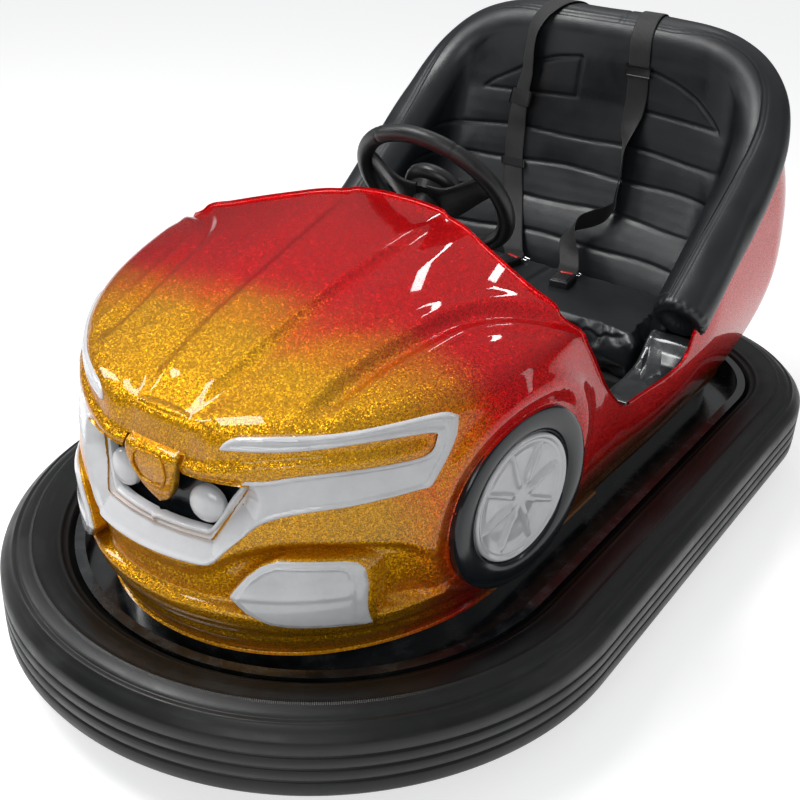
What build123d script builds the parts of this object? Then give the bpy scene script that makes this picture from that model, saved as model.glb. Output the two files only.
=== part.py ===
from build123d import *
import os
from math import cos, sin, radians, sqrt

# Two-seat fairground bumper car with one inflated tyre all round it.
# Millimetres, +Z up, floor at z = 0. The car faces -Y, its left side is +X.
# The origin is on the floor under the middle of the tyre ring.

PAST = 1200  # further than any side of the car, for cutting blocks

# Tyre ring, as outlines seen from above: half width, then each end's reach,
# its side arc and its end arc. One arc is larger than the half width, one smaller.
RING_HALF = 577
RING_FRONT = dict(reach=-975, side_r=615.6, end_r=560)
RING_REAR = dict(reach=975, side_r=385, end_r=830)
TYRE_BOTTOM, TYRE_TOP = 55, 215
TREAD_LOW, TREAD_HIGH = 85, 183
SHOULDER, SIDE_IN = 14, 72
BEAD_IN = 133
BEAD_LOW, BEAD_HIGH = 92, 180
GROOVE_DEPTH, GROOVE_WIDTH = 5, 8
GROOVE_HEIGHTS = (110, 134, 158)

# Steel rim band behind the tyre, and the floor plate inside it.
RIM_THICK = 5
RIM_LIP, RIM_BELOW, RIM_ABOVE, RIM_ROLL = 12, 6, 12, 6
FLOOR_Z, FLOOR_THICK = 150, 5
FLOOR_TOP = FLOOR_Z + FLOOR_THICK
CURB_THICK = 12
RAIL_X, RAIL_WIDE, RAIL_HIGH = 262, 40, 30
CROSSBAR_YS = (-660, -190, 250, 640)
LASHING_R, LASHING_X, LASHING_Y = 9, 288, 90
TAB_THICK, TAB_LONG, TAB_DEEP = 8, 60, 48
HANGER_X, HANGER_THICK, HANGER_LONG, HANGER_BELOW = 261, 10, 70, 22

# Body shell.
WALL = 6
BODY_FOOT = 195
SPLIT_Y = 0
# Front outlines: height, half width, nose reach, side arc, nose arc.
FRONT_LEVELS = (
    (BODY_FOOT, 358, -792, 494, 315),
    (285, 388, -826, 520, 335),
    (395, 404, -842, 520, 350),
    (520, 414, -824, 520, 355),
    (760, 412, -770, 520, 350),
)
# Hood sections: place along Y, then x and z of the centre panel's crease, the
# valley beside it, the outer ridge, the scoop beyond it and the outer edge.
HOOD_SIDE = 470
HOOD_SECTIONS = (
    (-900, (40, 560), (110, 550), (180, 556), (222, 544), (HOOD_SIDE, 526)),
    (-790, (44, 593), (115, 584), (190, 595), (228, 583), (HOOD_SIDE, 570)),
    (-600, (56, 663), (140, 648), (215, 652), (250, 633), (HOOD_SIDE, 600)),
    (-400, (72, 711), (170, 695), (262, 688), (298, 666), (HOOD_SIDE, 630)),
    (-190, (94, 752), (215, 738), (345, 699), (385, 687), (HOOD_SIDE, 655)),
    (40, (110, 790), (225, 774), (355, 721), (395, 705), (HOOD_SIDE, 668)),
)
# Rear outlines: height, half width at the split, half width behind, tail
# reach, side arc, tail arc.
REAR_LEVELS = (
    (BODY_FOOT, 358, 362, 800, 220, 620),
    (300, 391, 405, 868, 245, 620),
    (450, 409, 448, 905, 275, 620),
    (620, 413, 456, 880, 280, 620),
    (940, 410, 440, 662, 260, 560),
)

# Front trim in front view (x, z), left half; the right is its mirror. The body
# is hollowed behind the fog lamps between the headlamps and the chin's shelf.
HEADLAMP = (
    (115, 564), (123, 579), (140, 586), (187, 592), (230, 595), (268, 599), (303, 605),
    (335, 610), (361, 602), (363, 570), (359, 535), (350, 496), (315, 491), (280, 485),
    (242, 480), (200, 468), (178, 455), (160, 434), (135, 404), (112, 374), (0, 374),
    (0, 396), (100, 415), (125, 455), (158, 519), (185, 527), (215, 535), (256, 541),
    (293, 544), (328, 547), (345, 551), (348, 580), (308, 584), (272, 580), (233, 574),
    (191, 569), (143, 566))
TRIM_PROUD = 4
GRILLE = ((0, 396), (100, 415), (125, 455), (158, 518), (70, 514), (44, 486), (0, 440))
GRILLE_PLATE = ((0, 386), (112, 405), (140, 450), (176, 528), (70, 534), (0, 534))
GRILLE_DEEP = 8
TOOTH = ((0, 541), (54, 541), (58, 515), (48, 488), (26, 454), (0, 436))
TOOTH_PROUD = 6
HOLLOW = ((0, 296), (0, 366), (100, 372), (150, 406), (200, 426), (290, 418), (342, 398),
          (348, 300), (300, 284), (200, 288), (100, 296))
HOLLOW_DEEP, HOLLOW_REACH, PAST_SKIN = 16, -550, 30
NOSE_VIEW_END = -480
FOG_LAMP = ((143, 330), (169, 371), (187, 391), (208, 403), (290, 396), (300, 375), (301, 270),
            (216, 270), (165, 303))
FOG_PROUD = 3
LAMP_X, LAMP_Y, LAMP_Z, LAMP_R, LAMP_DOME_R = 84, -796, 458, 26, 34

# Dummy wheels moulded into the flanks, each turned a little to face forwards.
DUMMY_CENTRE = (404, -405, 400)
DUMMY_R, DUMMY_HUB_R, DUMMY_YAW = 162, 113, -10
DUMMY_DEEP, DUMMY_PROUD = 46, 8
ARCH_LIP, ARCH_PROUD = 13, 16
SPOKES, SPOKE_WIDE, SPOKE_PROUD = 9, 13, 7
DISC_IN, BEAD_WIDE, BOSS_R = 8, 9, 20

# Padded roll round the seat: corners of its own line on the left, from its
# lower end up to its top, and the arc that rounds them; the right is its mirror.
ROLL_R = 57
ROLL_LINE = ((402, 205, 503), (402, 580, 783), (285, 645, 919))
ROLL_BEND = 200
ROLL_END, ROLL_TOP = ROLL_LINE[0], ROLL_LINE[-1]
SOFT_GAP = 0.3

# Cockpit opening seen from the side: hood lip, door notch and sill.
HOOD_LIP = ((-186, 757), (-204, 743), (-240, 722), (-270, 695), (-281, 664), (-235, 598),
            (-164, 516), (-115, 471), (-62, 431))
NOTCH = (-20, 404)
SILL_Z = 405
SILL_IN, SILL_DEEP, SILL_HIGH, SILL_END = 347, 34, 40, 12

# Seat.
CUSHION_FRONT, CUSHION_REAR = 195, 505
CUSHION_LOW, CUSHION_HIGH, CUSHION_HALF, CUSHION_ROUND = 325, 428, 335, 26
BACK_THICK = 48
BASE_THICK, BASE_REAR, BASE_SET_IN = 12, 546, 10
# Space in front of the seat back: height, half width, reach, corner, back arc.
SEAT_FRONT = -40
SEAT_LEVELS = (
    (FLOOR_TOP, 326, 440, 90, 900),
    (440, 342, 500, 100, 900),
    (600, 356, 580, 130, 900),
    (770, 366, 612, 160, 900),
    (960, 350, 604, 180, 900),
)
BELT_XS = (-128, 100)
BELT_WIDE, BELT_THICK, BELT_CLEAR, BELT_STEP = 46, 2, 0.4, 30
BELT_LIE = ((588, 872), (598, 770), (566, 600), (500, 462), (462, 431), (430, 430))
BUCKLE_PLACES = ((-75, 363), (62, 353))
BUCKLE_SIZE, BUCKLE_CHAMFER = (44, 64, 20), 4

# Steering: wheel centre, tilt of its axis above level, and the gearbox where
# that axis meets the drive unit's swivel.
SWIVEL_Y = -430
STEER_CENTRE_Y, STEER_CENTRE_Z = -75, 740
STEER_TILT = 34.5
STEER_R, STEER_TUBE_R = 154, 15
SPOKE_ANGLES = (0, 180, 90)
STEER_SPOKE_WIDE, STEER_SPOKE_THICK, SPOKE_Z = 30, 12, -13
HUB_R, HUB_LOW, HUB_HIGH = 40, -38, -6
COLUMN_R, COLUMN_TOP, SPIGOT_R, SPIGOT_DEEP = 19, -46, 10, 60
SHAFT_PLAY = 0.05
COLUMN_LONG = (STEER_CENTRE_Y - SWIVEL_Y) / cos(radians(STEER_TILT))
GEARBOX_Z = STEER_CENTRE_Z - COLUMN_LONG * sin(radians(STEER_TILT))
GEARBOX_HALF, GEARBOX_CHAMFER = 45, 10
GEARBOX_LOW, GEARBOX_HIGH = GEARBOX_Z - 42, GEARBOX_Z + 46
STEM_R, STEM_TOP = 15, GEARBOX_Z - 8
DASH_Y, DASH_THICK, DASH_LOW = -302, 10, 470

# Drive unit under the hood: gantry, head tube, fork, motor and wheel.
DRIVE_R, DRIVE_TYRE_WIDE, DRIVE_HUB_R = 100, 50, 70
WELL_R = 195
BRIDGE_Z, BRIDGE_THICK, BRIDGE_HALF, BRIDGE_DEEP = 250, 8, 246, 55
CHEEK_DEEP, CHEEK_BELOW_TOP = 40, 12
HEAD_R, HEAD_LOW, HEAD_HIGH = 28, 238, 305
COLLAR_WIDE_R = 24
CROWN_LOW, CROWN_THICK, CROWN_DEEP = 222, 12, 45
FORK_IN, FORK_THICK, FORK_HALF, FORK_BELOW = 38, 8, 34, 26
FINAL_CASE_R, FINAL_CASE_LONG, FINAL_CASE_UP = 50, 24, 8
MOTOR_R, MOTOR_LONG, MOTOR_UP, MOTOR_CAP_R, MOTOR_CAP_LONG = 60, 92, 12, 44, 10

# Rear wheels, axle, battery and pedal.
REAR_R, REAR_TYRE_WIDE, REAR_HUB_R = 100, 46, 68
REAR_X, REAR_Y = 300, 440
WELL_CLEAR = 12
WELL_X = (REAR_X - REAR_TYRE_WIDE / 2 - WELL_CLEAR, REAR_X + REAR_TYRE_WIDE / 2 + WELL_CLEAR)
WELL_Y = (REAR_Y - REAR_R, REAR_Y + REAR_R)
AXLE_R, AXLE_END, COLLAR_R, COLLAR_GAP = 10, 10, 17, 1
BOSS_IN, BOSS_OUT, DRIVE_BOSS = -33.5, 26, 32
HUB_BOSS_R, HUB_RIM, HUB_WEB, TYRE_ROUND = 22, 9, 12, 8
BATTERY_X, BATTERY_Y, BATTERY_HIGH = 170, (235, 500), 305
PEDAL_X, PEDAL_Y, PEDAL_TILT = 150, -110, 38
PEDAL_BASE_HALF, PEDAL_BASE_LONG, PEDAL_BASE_HIGH = 35, (-10, 22), 14
TREAD_HALF, TREAD_LONG, TREAD_THICK = 40, (-110, 10), 8
STOP_HALF, STOP_LONG, STOP_HIGH = 8, (-62, -46), 52


def end_arcs(half, reach, side_r, end_r):
    """Side tangent point, joint and middle points of an outline's rounded end.

    Arcs that could not meet smoothly give way to a plain half round.
    """
    way = 1 if reach > 0 else -1
    if (side_r - half) * (half - end_r) <= 0:
        middle = Vector(0, reach - way * half)
        at_angle = [middle + Vector(cos(radians(a)), way * sin(radians(a))) * half
                    for a in (0, 22.5, 45)]
        return *at_angle, Vector(0, reach)
    end_c = Vector(0, reach - way * end_r)
    blunt = 1 if end_r > side_r else -1
    along = sqrt((end_r - side_r) ** 2 - (half - side_r) ** 2)
    side_c = Vector(half - side_r, end_c.Y + way * blunt * along)
    big, big_r, small = (end_c, end_r, side_c) if blunt > 0 else (side_c, side_r, end_c)
    joint = big + (small - big).normalized() * big_r
    start = Vector(half, side_c.Y)
    middle = side_c + ((start - side_c) + (joint - side_c)).normalized() * side_r
    return start, middle, joint, Vector(0, reach)


def end_edges(half, end, z):
    """The rounded end from the +X side round to the -X side, as edges."""
    start, middle, joint, tip = end_arcs(half, **end)
    p = [Vector(v.X, v.Y, z) for v in (start, middle, joint, tip)]
    q = [Vector(-v.X, v.Y, v.Z) for v in p]
    return p[0], q[0], [ThreePointArc(p[0], p[1], p[2]), ThreePointArc(p[2], p[3], q[2]),
                        ThreePointArc(q[2], q[1], q[0])]


def inset_end(end, inset):
    way = 1 if end["reach"] > 0 else -1
    return dict(reach=end["reach"] - way * inset, side_r=end["side_r"] - inset,
                end_r=end["end_r"] - inset)


def closed_outline(half, front, rear, z=0, inset=0):
    """A ring's or plate's whole outline, rounded at both ends."""
    half = half - inset
    f_right, f_left, f_edges = end_edges(half, inset_end(front, inset), z)
    r_right, r_left, r_edges = end_edges(half, inset_end(rear, inset), z)
    return Wire([Line(f_right, r_right)] + r_edges + [Line(r_left, f_left)] + f_edges)


def plate(outline, thick):
    return extrude(Face(outline), thick, dir=(0, 0, 1))


def front_outline(level, grow=0):
    z, half, reach, side_r, end_r = level
    end = inset_end(dict(reach=reach, side_r=side_r, end_r=end_r), -grow)
    right, left, edges = end_edges(half + grow, end, z)
    c, d = Vector(half + grow, SPLIT_Y, z), Vector(-half - grow, SPLIT_Y, z)
    return Wire([Line(c, right)] + edges + [Line(left, d), Line(d, c)])


def rear_outline(level, grow=0):
    z, half_split, half, reach, side_r, end_r = level
    end = inset_end(dict(reach=reach, side_r=side_r, end_r=end_r), -grow)
    right, left, edges = end_edges(half + grow, end, z)
    c, d = Vector(half_split + grow, SPLIT_Y, z), Vector(-half_split - grow, SPLIT_Y, z)
    return Wire([Line(c, right)] + edges + [Line(left, d), Line(d, c)])


def hood_section(section, grow=0):
    y, points = section[0], section[1:]
    right = [Vector(x, y, z + grow) for x, z in points]
    left = [Vector(-v.X, v.Y, v.Z) for v in reversed(right)]
    base = [Vector(HOOD_SIDE, y, 0), Vector(-HOOD_SIDE, y, 0)]
    return Wire.make_polygon(left + right + base, close=True)


def front_form(grow=0):
    """The cowl's solid outer form, grown or shrunk by one amount all round."""
    body = Solid.make_loft([front_outline(level, grow) for level in FRONT_LEVELS])
    hood = Solid.make_loft([hood_section(s, grow) for s in HOOD_SECTIONS])
    return body & hood


def nose_hollow(grow=0):
    """What the hollow behind the fog lamps takes out of the front form."""
    profile = front_view(HOLLOW, high_y=HOLLOW_REACH)
    if grow:
        profile = offset(profile, grow)
    hollow = (front_form(PAST_SKIN) & both(profile)) - front_form(-HOLLOW_DEEP - grow)
    return hollow


def rear_form(grow=0):
    return Solid.make_loft([rear_outline(level, grow) for level in REAR_LEVELS])


def side_profile(points, half=PAST):
    """A prism right across the car from its side view, in y and z."""
    face = Face(Wire.make_polygon([Vector(-half, y, z) for y, z in points], close=True))
    return extrude(face, 2 * half, dir=(1, 0, 0))


def front_view(points, high_y=NOSE_VIEW_END):
    """A prism through the nose from its front view, left-hand side."""
    face = Face(Wire.make_polygon([Vector(x, -PAST, z) for x, z in points], close=True))
    return extrude(face, high_y + PAST, dir=(0, 1, 0))


def block(x0, x1, y0, y1, z0, z1):
    return Pos((x0 + x1) / 2, (y0 + y1) / 2, (z0 + z1) / 2) * Box(x1 - x0, y1 - y0, z1 - z0)


def rod(radius, start, end):
    """A round bar between two points."""
    a, b = Vector(*start), Vector(*end)
    way = b - a
    return Plane(origin=a, z_dir=way) * Cylinder(
        radius, way.length, align=(Align.CENTER, Align.CENTER, Align.MIN))


def both(shape):
    return shape + mirror(shape, Plane.YZ)


def save(shape, node):
    export_step(shape, "parts/" + node + ".step")


def ring_sweep(section_points):
    """A band all round the ring, from inward distance and height points."""
    points = [Vector(RING_HALF - inward, 0, z) for inward, z in section_points]
    face = Face(Wire.make_polygon(points, close=True))
    return sweep_ring(face)


def sweep_ring(face):
    right, left, front_edges = end_edges(RING_HALF, RING_FRONT, 0)
    r_right, r_left, rear_edges = end_edges(RING_HALF, RING_REAR, 0)
    start = Vector(RING_HALF, 0, 0)
    path = Wire([Line(start, r_right)] + rear_edges + [Line(r_left, left)]
                + [e for e in reversed(front_edges)] + [Line(right, start)])
    return sweep(face, path=path)


def bumper_tyre():
    """Inflated tyre: bulging side walls, square shoulders, grooved tread."""
    x = RING_HALF
    tread = []
    for z in GROOVE_HEIGHTS:
        tread += [(0, z - GROOVE_WIDTH / 2), (GROOVE_DEPTH, z - GROOVE_WIDTH / 2),
                  (GROOVE_DEPTH, z + GROOVE_WIDTH / 2), (0, z + GROOVE_WIDTH / 2)]
    outer = [Vector(x, 0, TREAD_LOW)] + [Vector(x - d, 0, z) for d, z in tread]
    outer += [Vector(x, 0, TREAD_HIGH)]
    edges = list(Polyline(*outer).edges())
    for bead_z, side_z, tread_z, turn in (
            (BEAD_HIGH, TYRE_TOP, TREAD_HIGH, 1), (BEAD_LOW, TYRE_BOTTOM, TREAD_LOW, -1)):
        bead = Vector(x - BEAD_IN, 0, bead_z)
        high = Vector(x - SIDE_IN, 0, side_z)
        corner = Vector(x - SHOULDER, 0, tread_z + turn * SHOULDER)
        edges += [ThreePointArc(bead, high, corner), Line(corner, Vector(x, 0, tread_z))]
    edges.append(Line(Vector(x - BEAD_IN, 0, BEAD_LOW), Vector(x - BEAD_IN, 0, BEAD_HIGH)))
    return sweep_ring(Face(Wire(edges)))


def bumper_rim():
    """Steel band that the tyre sits on, with a rolled lip above the bead."""
    low, high = BEAD_LOW - RIM_BELOW, BEAD_HIGH + RIM_ABOVE
    return ring_sweep([(BEAD_IN, low), (BEAD_IN, high), (BEAD_IN - RIM_ROLL, high + RIM_ROLL),
                       (BEAD_IN + RIM_LIP, high + RIM_ROLL), (BEAD_IN + RIM_THICK, high - 2),
                       (BEAD_IN + RIM_THICK, low)])


def inside_rim(z, thick, inset=0):
    return plate(closed_outline(RING_HALF, RING_FRONT, RING_REAR, z,
                                BEAD_IN + RIM_THICK + inset), thick)


def foot_outline(z, inset):
    front, rear = FRONT_LEVELS[0], REAR_LEVELS[0]
    return closed_outline(front[1], dict(reach=front[2], side_r=front[3], end_r=front[4]),
                          dict(reach=rear[3], side_r=rear[4], end_r=rear[5]), z, inset)


def floor_pan():
    """Floor plate with its wheel openings, and the curb that the body stands on."""
    floor = inside_rim(FLOOR_Z, FLOOR_THICK)
    floor = floor + floor_curb()
    floor -= Pos(0, SWIVEL_Y, FLOOR_Z) * Cylinder(WELL_R, 4 * FLOOR_THICK)
    floor -= both(block(*WELL_X, *WELL_Y, FLOOR_Z - 1, FLOOR_TOP + 1))
    return floor


def frame_rail():
    """Left rail under the floor, with its lashing tab and its axle hanger."""
    z0, z1 = FLOOR_Z - RAIL_HIGH, FLOOR_Z
    rail = block(RAIL_X - RAIL_WIDE, RAIL_X, -PAST, PAST, z0, z1) & inside_rim(z0 - 1, RAIL_HIGH + 2)
    tab = block(RAIL_X, RAIL_X + TAB_DEEP, LASHING_Y - TAB_LONG / 2, LASHING_Y + TAB_LONG / 2,
                z0, z0 + TAB_THICK)
    tab -= rod(LASHING_R, (LASHING_X, LASHING_Y, z0 - 1), (LASHING_X, LASHING_Y, z1))
    hanger = block(HANGER_X - HANGER_THICK, HANGER_X, REAR_Y - HANGER_LONG / 2,
                   REAR_Y + HANGER_LONG / 2, REAR_R - HANGER_BELOW, z0)
    hanger -= rod(AXLE_R, (0, REAR_Y, REAR_R), (REAR_X, REAR_Y, REAR_R))
    return rail + tab + hanger


def frame_crossbars():
    """Crossbars butted between the rails and out to the rim band."""
    bars = []
    for y in CROSSBAR_YS:
        bar = block(-PAST, PAST, y - RAIL_WIDE / 2, y + RAIL_WIDE / 2, FLOOR_Z - RAIL_HIGH, FLOOR_Z)
        bar &= inside_rim(FLOOR_Z - RAIL_HIGH - 1, RAIL_HIGH + 2)
        bar -= both(block(RAIL_X - RAIL_WIDE, RAIL_X, -PAST, PAST, FLOOR_Z - RAIL_HIGH, FLOOR_Z))
        bars += bar.solids()
    return Compound(bars)


def opening():
    """What the cockpit opening removes from both shells."""
    under_roll = [(y, z) for _, y, z in ROLL_LINE]
    points = [(HOOD_LIP[0][0], PAST), *HOOD_LIP, NOTCH, (SPLIT_Y + 40, SILL_Z - 3),
              (ROLL_END[1] - 10, SILL_Z + 12), *under_roll, (PAST, ROLL_TOP[2]), (PAST, PAST)]
    return side_profile(points)


def roll_path():
    others = [(-x, y, z) for x, y, z in reversed(ROLL_LINE)]
    return FilletPolyline(*ROLL_LINE, *others, radius=ROLL_BEND)


def seat_roll(extra=0):
    path = roll_path()
    face = Plane(origin=path @ 0, z_dir=path % 0) * Circle(ROLL_R + extra)
    return sweep(face, path=path)


def seat_space(grow=0):
    wires = []
    for z, half, reach, side_r, end_r in SEAT_LEVELS:
        end = inset_end(dict(reach=reach, side_r=side_r, end_r=end_r), -grow)
        right, left, edges = end_edges(half + grow, end, z)
        c, d = Vector(half + grow, SEAT_FRONT, z), Vector(-half - grow, SEAT_FRONT, z)
        wires.append(Wire([Line(c, right)] + edges + [Line(left, d), Line(d, c)]))
    return Solid.make_loft(wires)


def dummy_plane():
    """Plane of the left dummy wheel, its z axis pointing out of the car."""
    yaw = radians(DUMMY_YAW)
    return Plane(origin=DUMMY_CENTRE, x_dir=(-sin(yaw), cos(yaw), 0),
                 z_dir=(cos(yaw), sin(yaw), 0))


def dummy_disc(radius, low, high):
    return dummy_plane() * (Pos(0, 0, low) * Cylinder(
        radius, high - low, align=(Align.CENTER, Align.CENTER, Align.MIN)))


def dummy_tyre():
    """Ring with a rounded outer wall, its section turned about the wheel axis."""
    r_in, r_out, low, high = DUMMY_HUB_R, DUMMY_R, -DUMMY_DEEP, DUMMY_PROUD
    crown = (r_in + r_out) / 2
    face = Face(Wire([
        Line((r_in, 0, low), (r_out, 0, low)), Line((r_out, 0, low), (r_out, 0, high - 14)),
        ThreePointArc((r_out, 0, high - 14), (crown, 0, high + 6), (r_in, 0, high - 4)),
        Line((r_in, 0, high - 4), (r_in, 0, low))]))
    return dummy_plane() * revolve(face, Axis.Z)


def dummy_hub():
    """Dished wheel trim with raised spokes, a rim bead and a centre boss."""
    low, face_z = -DUMMY_DEEP, -DISC_IN
    hub = Pos(0, 0, low) * Cylinder(DUMMY_HUB_R - SOFT_GAP, face_z - low,
                                    align=(Align.CENTER, Align.CENTER, Align.MIN))
    seat = (Align.CENTER, Align.CENTER, Align.MIN)
    bead = Cylinder(DUMMY_HUB_R - SOFT_GAP, SPOKE_PROUD + 3, align=seat) - Cylinder(
        DUMMY_HUB_R - BEAD_WIDE, SPOKE_PROUD + 3, align=seat)
    hub += Pos(0, 0, face_z) * bead
    hub += Pos(0, 0, face_z) * Cylinder(BOSS_R, SPOKE_PROUD + 2, align=seat)
    for step in range(SPOKES):
        bar = Pos(DUMMY_HUB_R / 2, 0, face_z) * Box(DUMMY_HUB_R - 12, SPOKE_WIDE, SPOKE_PROUD,
                                                    align=seat)
        hub += Rot(0, 0, 360 / SPOKES * step) * bar
    return dummy_plane() * hub


def skin_slice(profile, inner_grow, outer_grow):
    """The part of a layer over or in the nose that lies inside a profile."""
    return (front_form(outer_grow) & front_view(profile)) - front_form(inner_grow)


def skin_slice_both(profile, inner_grow, outer_grow):
    return both(skin_slice(profile, inner_grow, outer_grow))


def arch_lip():
    return both(dummy_disc(DUMMY_R + ARCH_LIP, -DUMMY_DEEP, ARCH_PROUD)) & front_form(ARCH_PROUD)


def front_cowl():
    """Hood, nose and front flanks in one moulding, with both dummy wheels' holes."""
    cowl = front_form() + arch_lip() - nose_hollow()
    cowl -= front_form(-WALL) - nose_hollow(WALL)
    cowl += skin_slice_both(TOOTH, -WALL / 2, TOOTH_PROUD)
    cowl -= opening()
    cowl -= both(dummy_disc(DUMMY_R + SOFT_GAP, -2 * DUMMY_DEEP, 2 * DUMMY_DEEP))
    return cowl - both(front_view(GRILLE))


def rear_shell():
    """Flanks and tail behind the door notch, open above to the seat."""
    return rear_form() - rear_form(-WALL) - opening() - seat_roll(SOFT_GAP)


def front_trim():
    """White headlamp frames, joined under the grille."""
    return skin_slice_both(HEADLAMP, 0, TRIM_PROUD) - arch_lip()


def grille_panel():
    return skin_slice_both(GRILLE_PLATE, -WALL - GRILLE_DEEP, -WALL)


def grille_lamps():
    """A domed lamp each side of the nose, standing on the grille panel."""
    dome = Pos(LAMP_X, LAMP_Y, LAMP_Z) * Sphere(LAMP_DOME_R)
    barrel = rod(LAMP_R, (LAMP_X, LAMP_Y, LAMP_Z), (LAMP_X, LAMP_Y - 80, LAMP_Z))
    return both((dome & barrel) - front_form(-WALL))


def fog_lamp():
    return skin_slice(FOG_LAMP, -HOLLOW_DEEP, FOG_PROUD) & nose_hollow_or_outside()


def nose_hollow_or_outside():
    """Room for the fog lamps: the hollow, and everything outside the skin."""
    return (front_form(PAST_SKIN) - front_form()) + nose_hollow()


def along_column(distance):
    """A point on the steering axis, measured from the wheel towards the driver."""
    tilt = radians(STEER_TILT)
    return (0, STEER_CENTRE_Y + distance * cos(tilt), STEER_CENTRE_Z + distance * sin(tilt))


def wheel_plane():
    tilt = radians(STEER_TILT)
    return Plane(origin=along_column(0), x_dir=(1, 0, 0), z_dir=(0, cos(tilt), sin(tilt)))


def gearbox_block():
    return block(-GEARBOX_HALF, GEARBOX_HALF, SWIVEL_Y - GEARBOX_HALF,
                 SWIVEL_Y + GEARBOX_HALF, GEARBOX_LOW, GEARBOX_HIGH)


def steering_gearbox():
    """Bevel gear case; the drive unit's stem turns in its lower bore."""
    case = chamfer(gearbox_block().edges().filter_by(Axis.X), GEARBOX_CHAMFER)
    return case - rod(STEM_R + SHAFT_PLAY, (0, SWIVEL_Y, GEARBOX_LOW - 1),
                      (0, SWIVEL_Y, STEM_TOP + 2))


def column_tube():
    tube = rod(COLUMN_R, along_column(-COLUMN_LONG), along_column(COLUMN_TOP))
    tube -= rod(SPIGOT_R + SHAFT_PLAY, along_column(COLUMN_TOP - SPIGOT_DEEP - 2),
                along_column(COLUMN_TOP + 1))
    return tube - gearbox_block()


def steering_rim():
    return wheel_plane() * Torus(STEER_R, STEER_TUBE_R)


def steering_hub():
    """Boss with its spigot in the column, and spokes out to the rim."""
    hub = rod(HUB_R, along_column(HUB_LOW), along_column(HUB_HIGH))
    hub += rod(SPIGOT_R, along_column(COLUMN_TOP - SPIGOT_DEEP), along_column(HUB_LOW))
    for angle in SPOKE_ANGLES:
        spoke = Pos(STEER_R / 2, 0, SPOKE_Z) * Box(STEER_R, STEER_SPOKE_WIDE, STEER_SPOKE_THICK)
        hub += wheel_plane() * (Rot(0, 0, angle) * spoke)
    return hub - steering_rim()


def dash_panel():
    """Flat panel across the cowl under the hood's lip, pierced by the column."""
    panel = block(-PAST, PAST, DASH_Y, DASH_Y + DASH_THICK, DASH_LOW, PAST)
    panel &= front_form(-WALL)
    panel -= both(dummy_disc(DUMMY_R + SOFT_GAP, -DUMMY_DEEP - SOFT_GAP, DUMMY_DEEP))
    return panel - rod(COLUMN_R, along_column(-COLUMN_LONG), along_column(0))


def sill_pad():
    """Black cap inside the door sill, flush with the shell's edge."""
    pad = block(SILL_IN, PAST, SPLIT_Y, ROLL_END[1] - SILL_END, SILL_Z - SILL_DEEP,
                SILL_Z + SILL_HIGH)
    return (pad & rear_form(-WALL)) - opening()


def seat_base():
    """Bench box: front board, seat board and back board, as wide as the shell."""
    inside = rear_form(-WALL) + plate(foot_outline(FLOOR_TOP, 1 + CURB_THICK),
                                      BODY_FOOT - FLOOR_TOP)
    front = CUSHION_FRONT + BASE_SET_IN
    base = block(-PAST, PAST, front, BASE_REAR, FLOOR_TOP, CUSHION_LOW)
    base -= block(-PAST, PAST, front + BASE_THICK, BASE_REAR - BASE_THICK, FLOOR_TOP - 1,
                  CUSHION_LOW - BASE_THICK)
    return base & inside


def floor_curb():
    high = BODY_FOOT - FLOOR_TOP
    return plate(foot_outline(FLOOR_TOP, 1), high) - plate(
        foot_outline(FLOOR_TOP, 1 + CURB_THICK), high)


def seat_cushion():
    pad = block(-CUSHION_HALF, CUSHION_HALF, CUSHION_FRONT, CUSHION_REAR, CUSHION_LOW,
                CUSHION_HIGH)
    pad = fillet(pad.edges().filter_by(Axis.X).sort_by(Axis.Y)[:2], CUSHION_ROUND)
    return pad & seat_space(-SOFT_GAP)


def seat_back():
    """Padded back that wraps round both sides, under the roll."""
    back = seat_space(BACK_THICK) - seat_space()
    back &= block(-PAST, PAST, ROLL_END[1] + 5, PAST, CUSHION_LOW, PAST)
    return back - opening() - seat_roll(SOFT_GAP)


def belt(x):
    """Shoulder strap over the roll, down the seat back and onto the cushion."""
    turn_r = (ROLL_R + BELT_CLEAR) / cos(radians(BELT_STEP / 2))
    top_y, top_z = ROLL_TOP[1], ROLL_TOP[2]
    line = [(top_y + turn_r * cos(radians(a)), top_z + turn_r * sin(radians(a)))
            for a in range(0, 181, BELT_STEP)]
    return strap(line + list(BELT_LIE), x)


def strap(line, x):
    points = [Vector(x - BELT_WIDE / 2, y, z) for y, z in line]
    shifted = []
    for i, point in enumerate(points):
        ahead = points[min(i + 1, len(points) - 1)] - points[max(i - 1, 0)]
        side = Vector(0, ahead.Z, -ahead.Y).normalized()
        shifted.append(point + side * BELT_THICK)
    face = Face(Wire.make_polygon(points + shifted[::-1], close=True))
    return extrude(face, BELT_WIDE, dir=(1, 0, 0))


def belt_buckles():
    wide, long, high = BUCKLE_SIZE
    buckles = []
    for x, y in BUCKLE_PLACES:
        case = block(x - wide / 2, x + wide / 2, y - long / 2, y + long / 2, CUSHION_HIGH,
                     CUSHION_HIGH + high)
        buckles.append(chamfer(case.edges().group_by(Axis.Z)[-1], BUCKLE_CHAMFER))
    return Compound(buckles)


def battery_block():
    return block(-BATTERY_X, BATTERY_X, *BATTERY_Y, FLOOR_TOP, BATTERY_HIGH)


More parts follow.
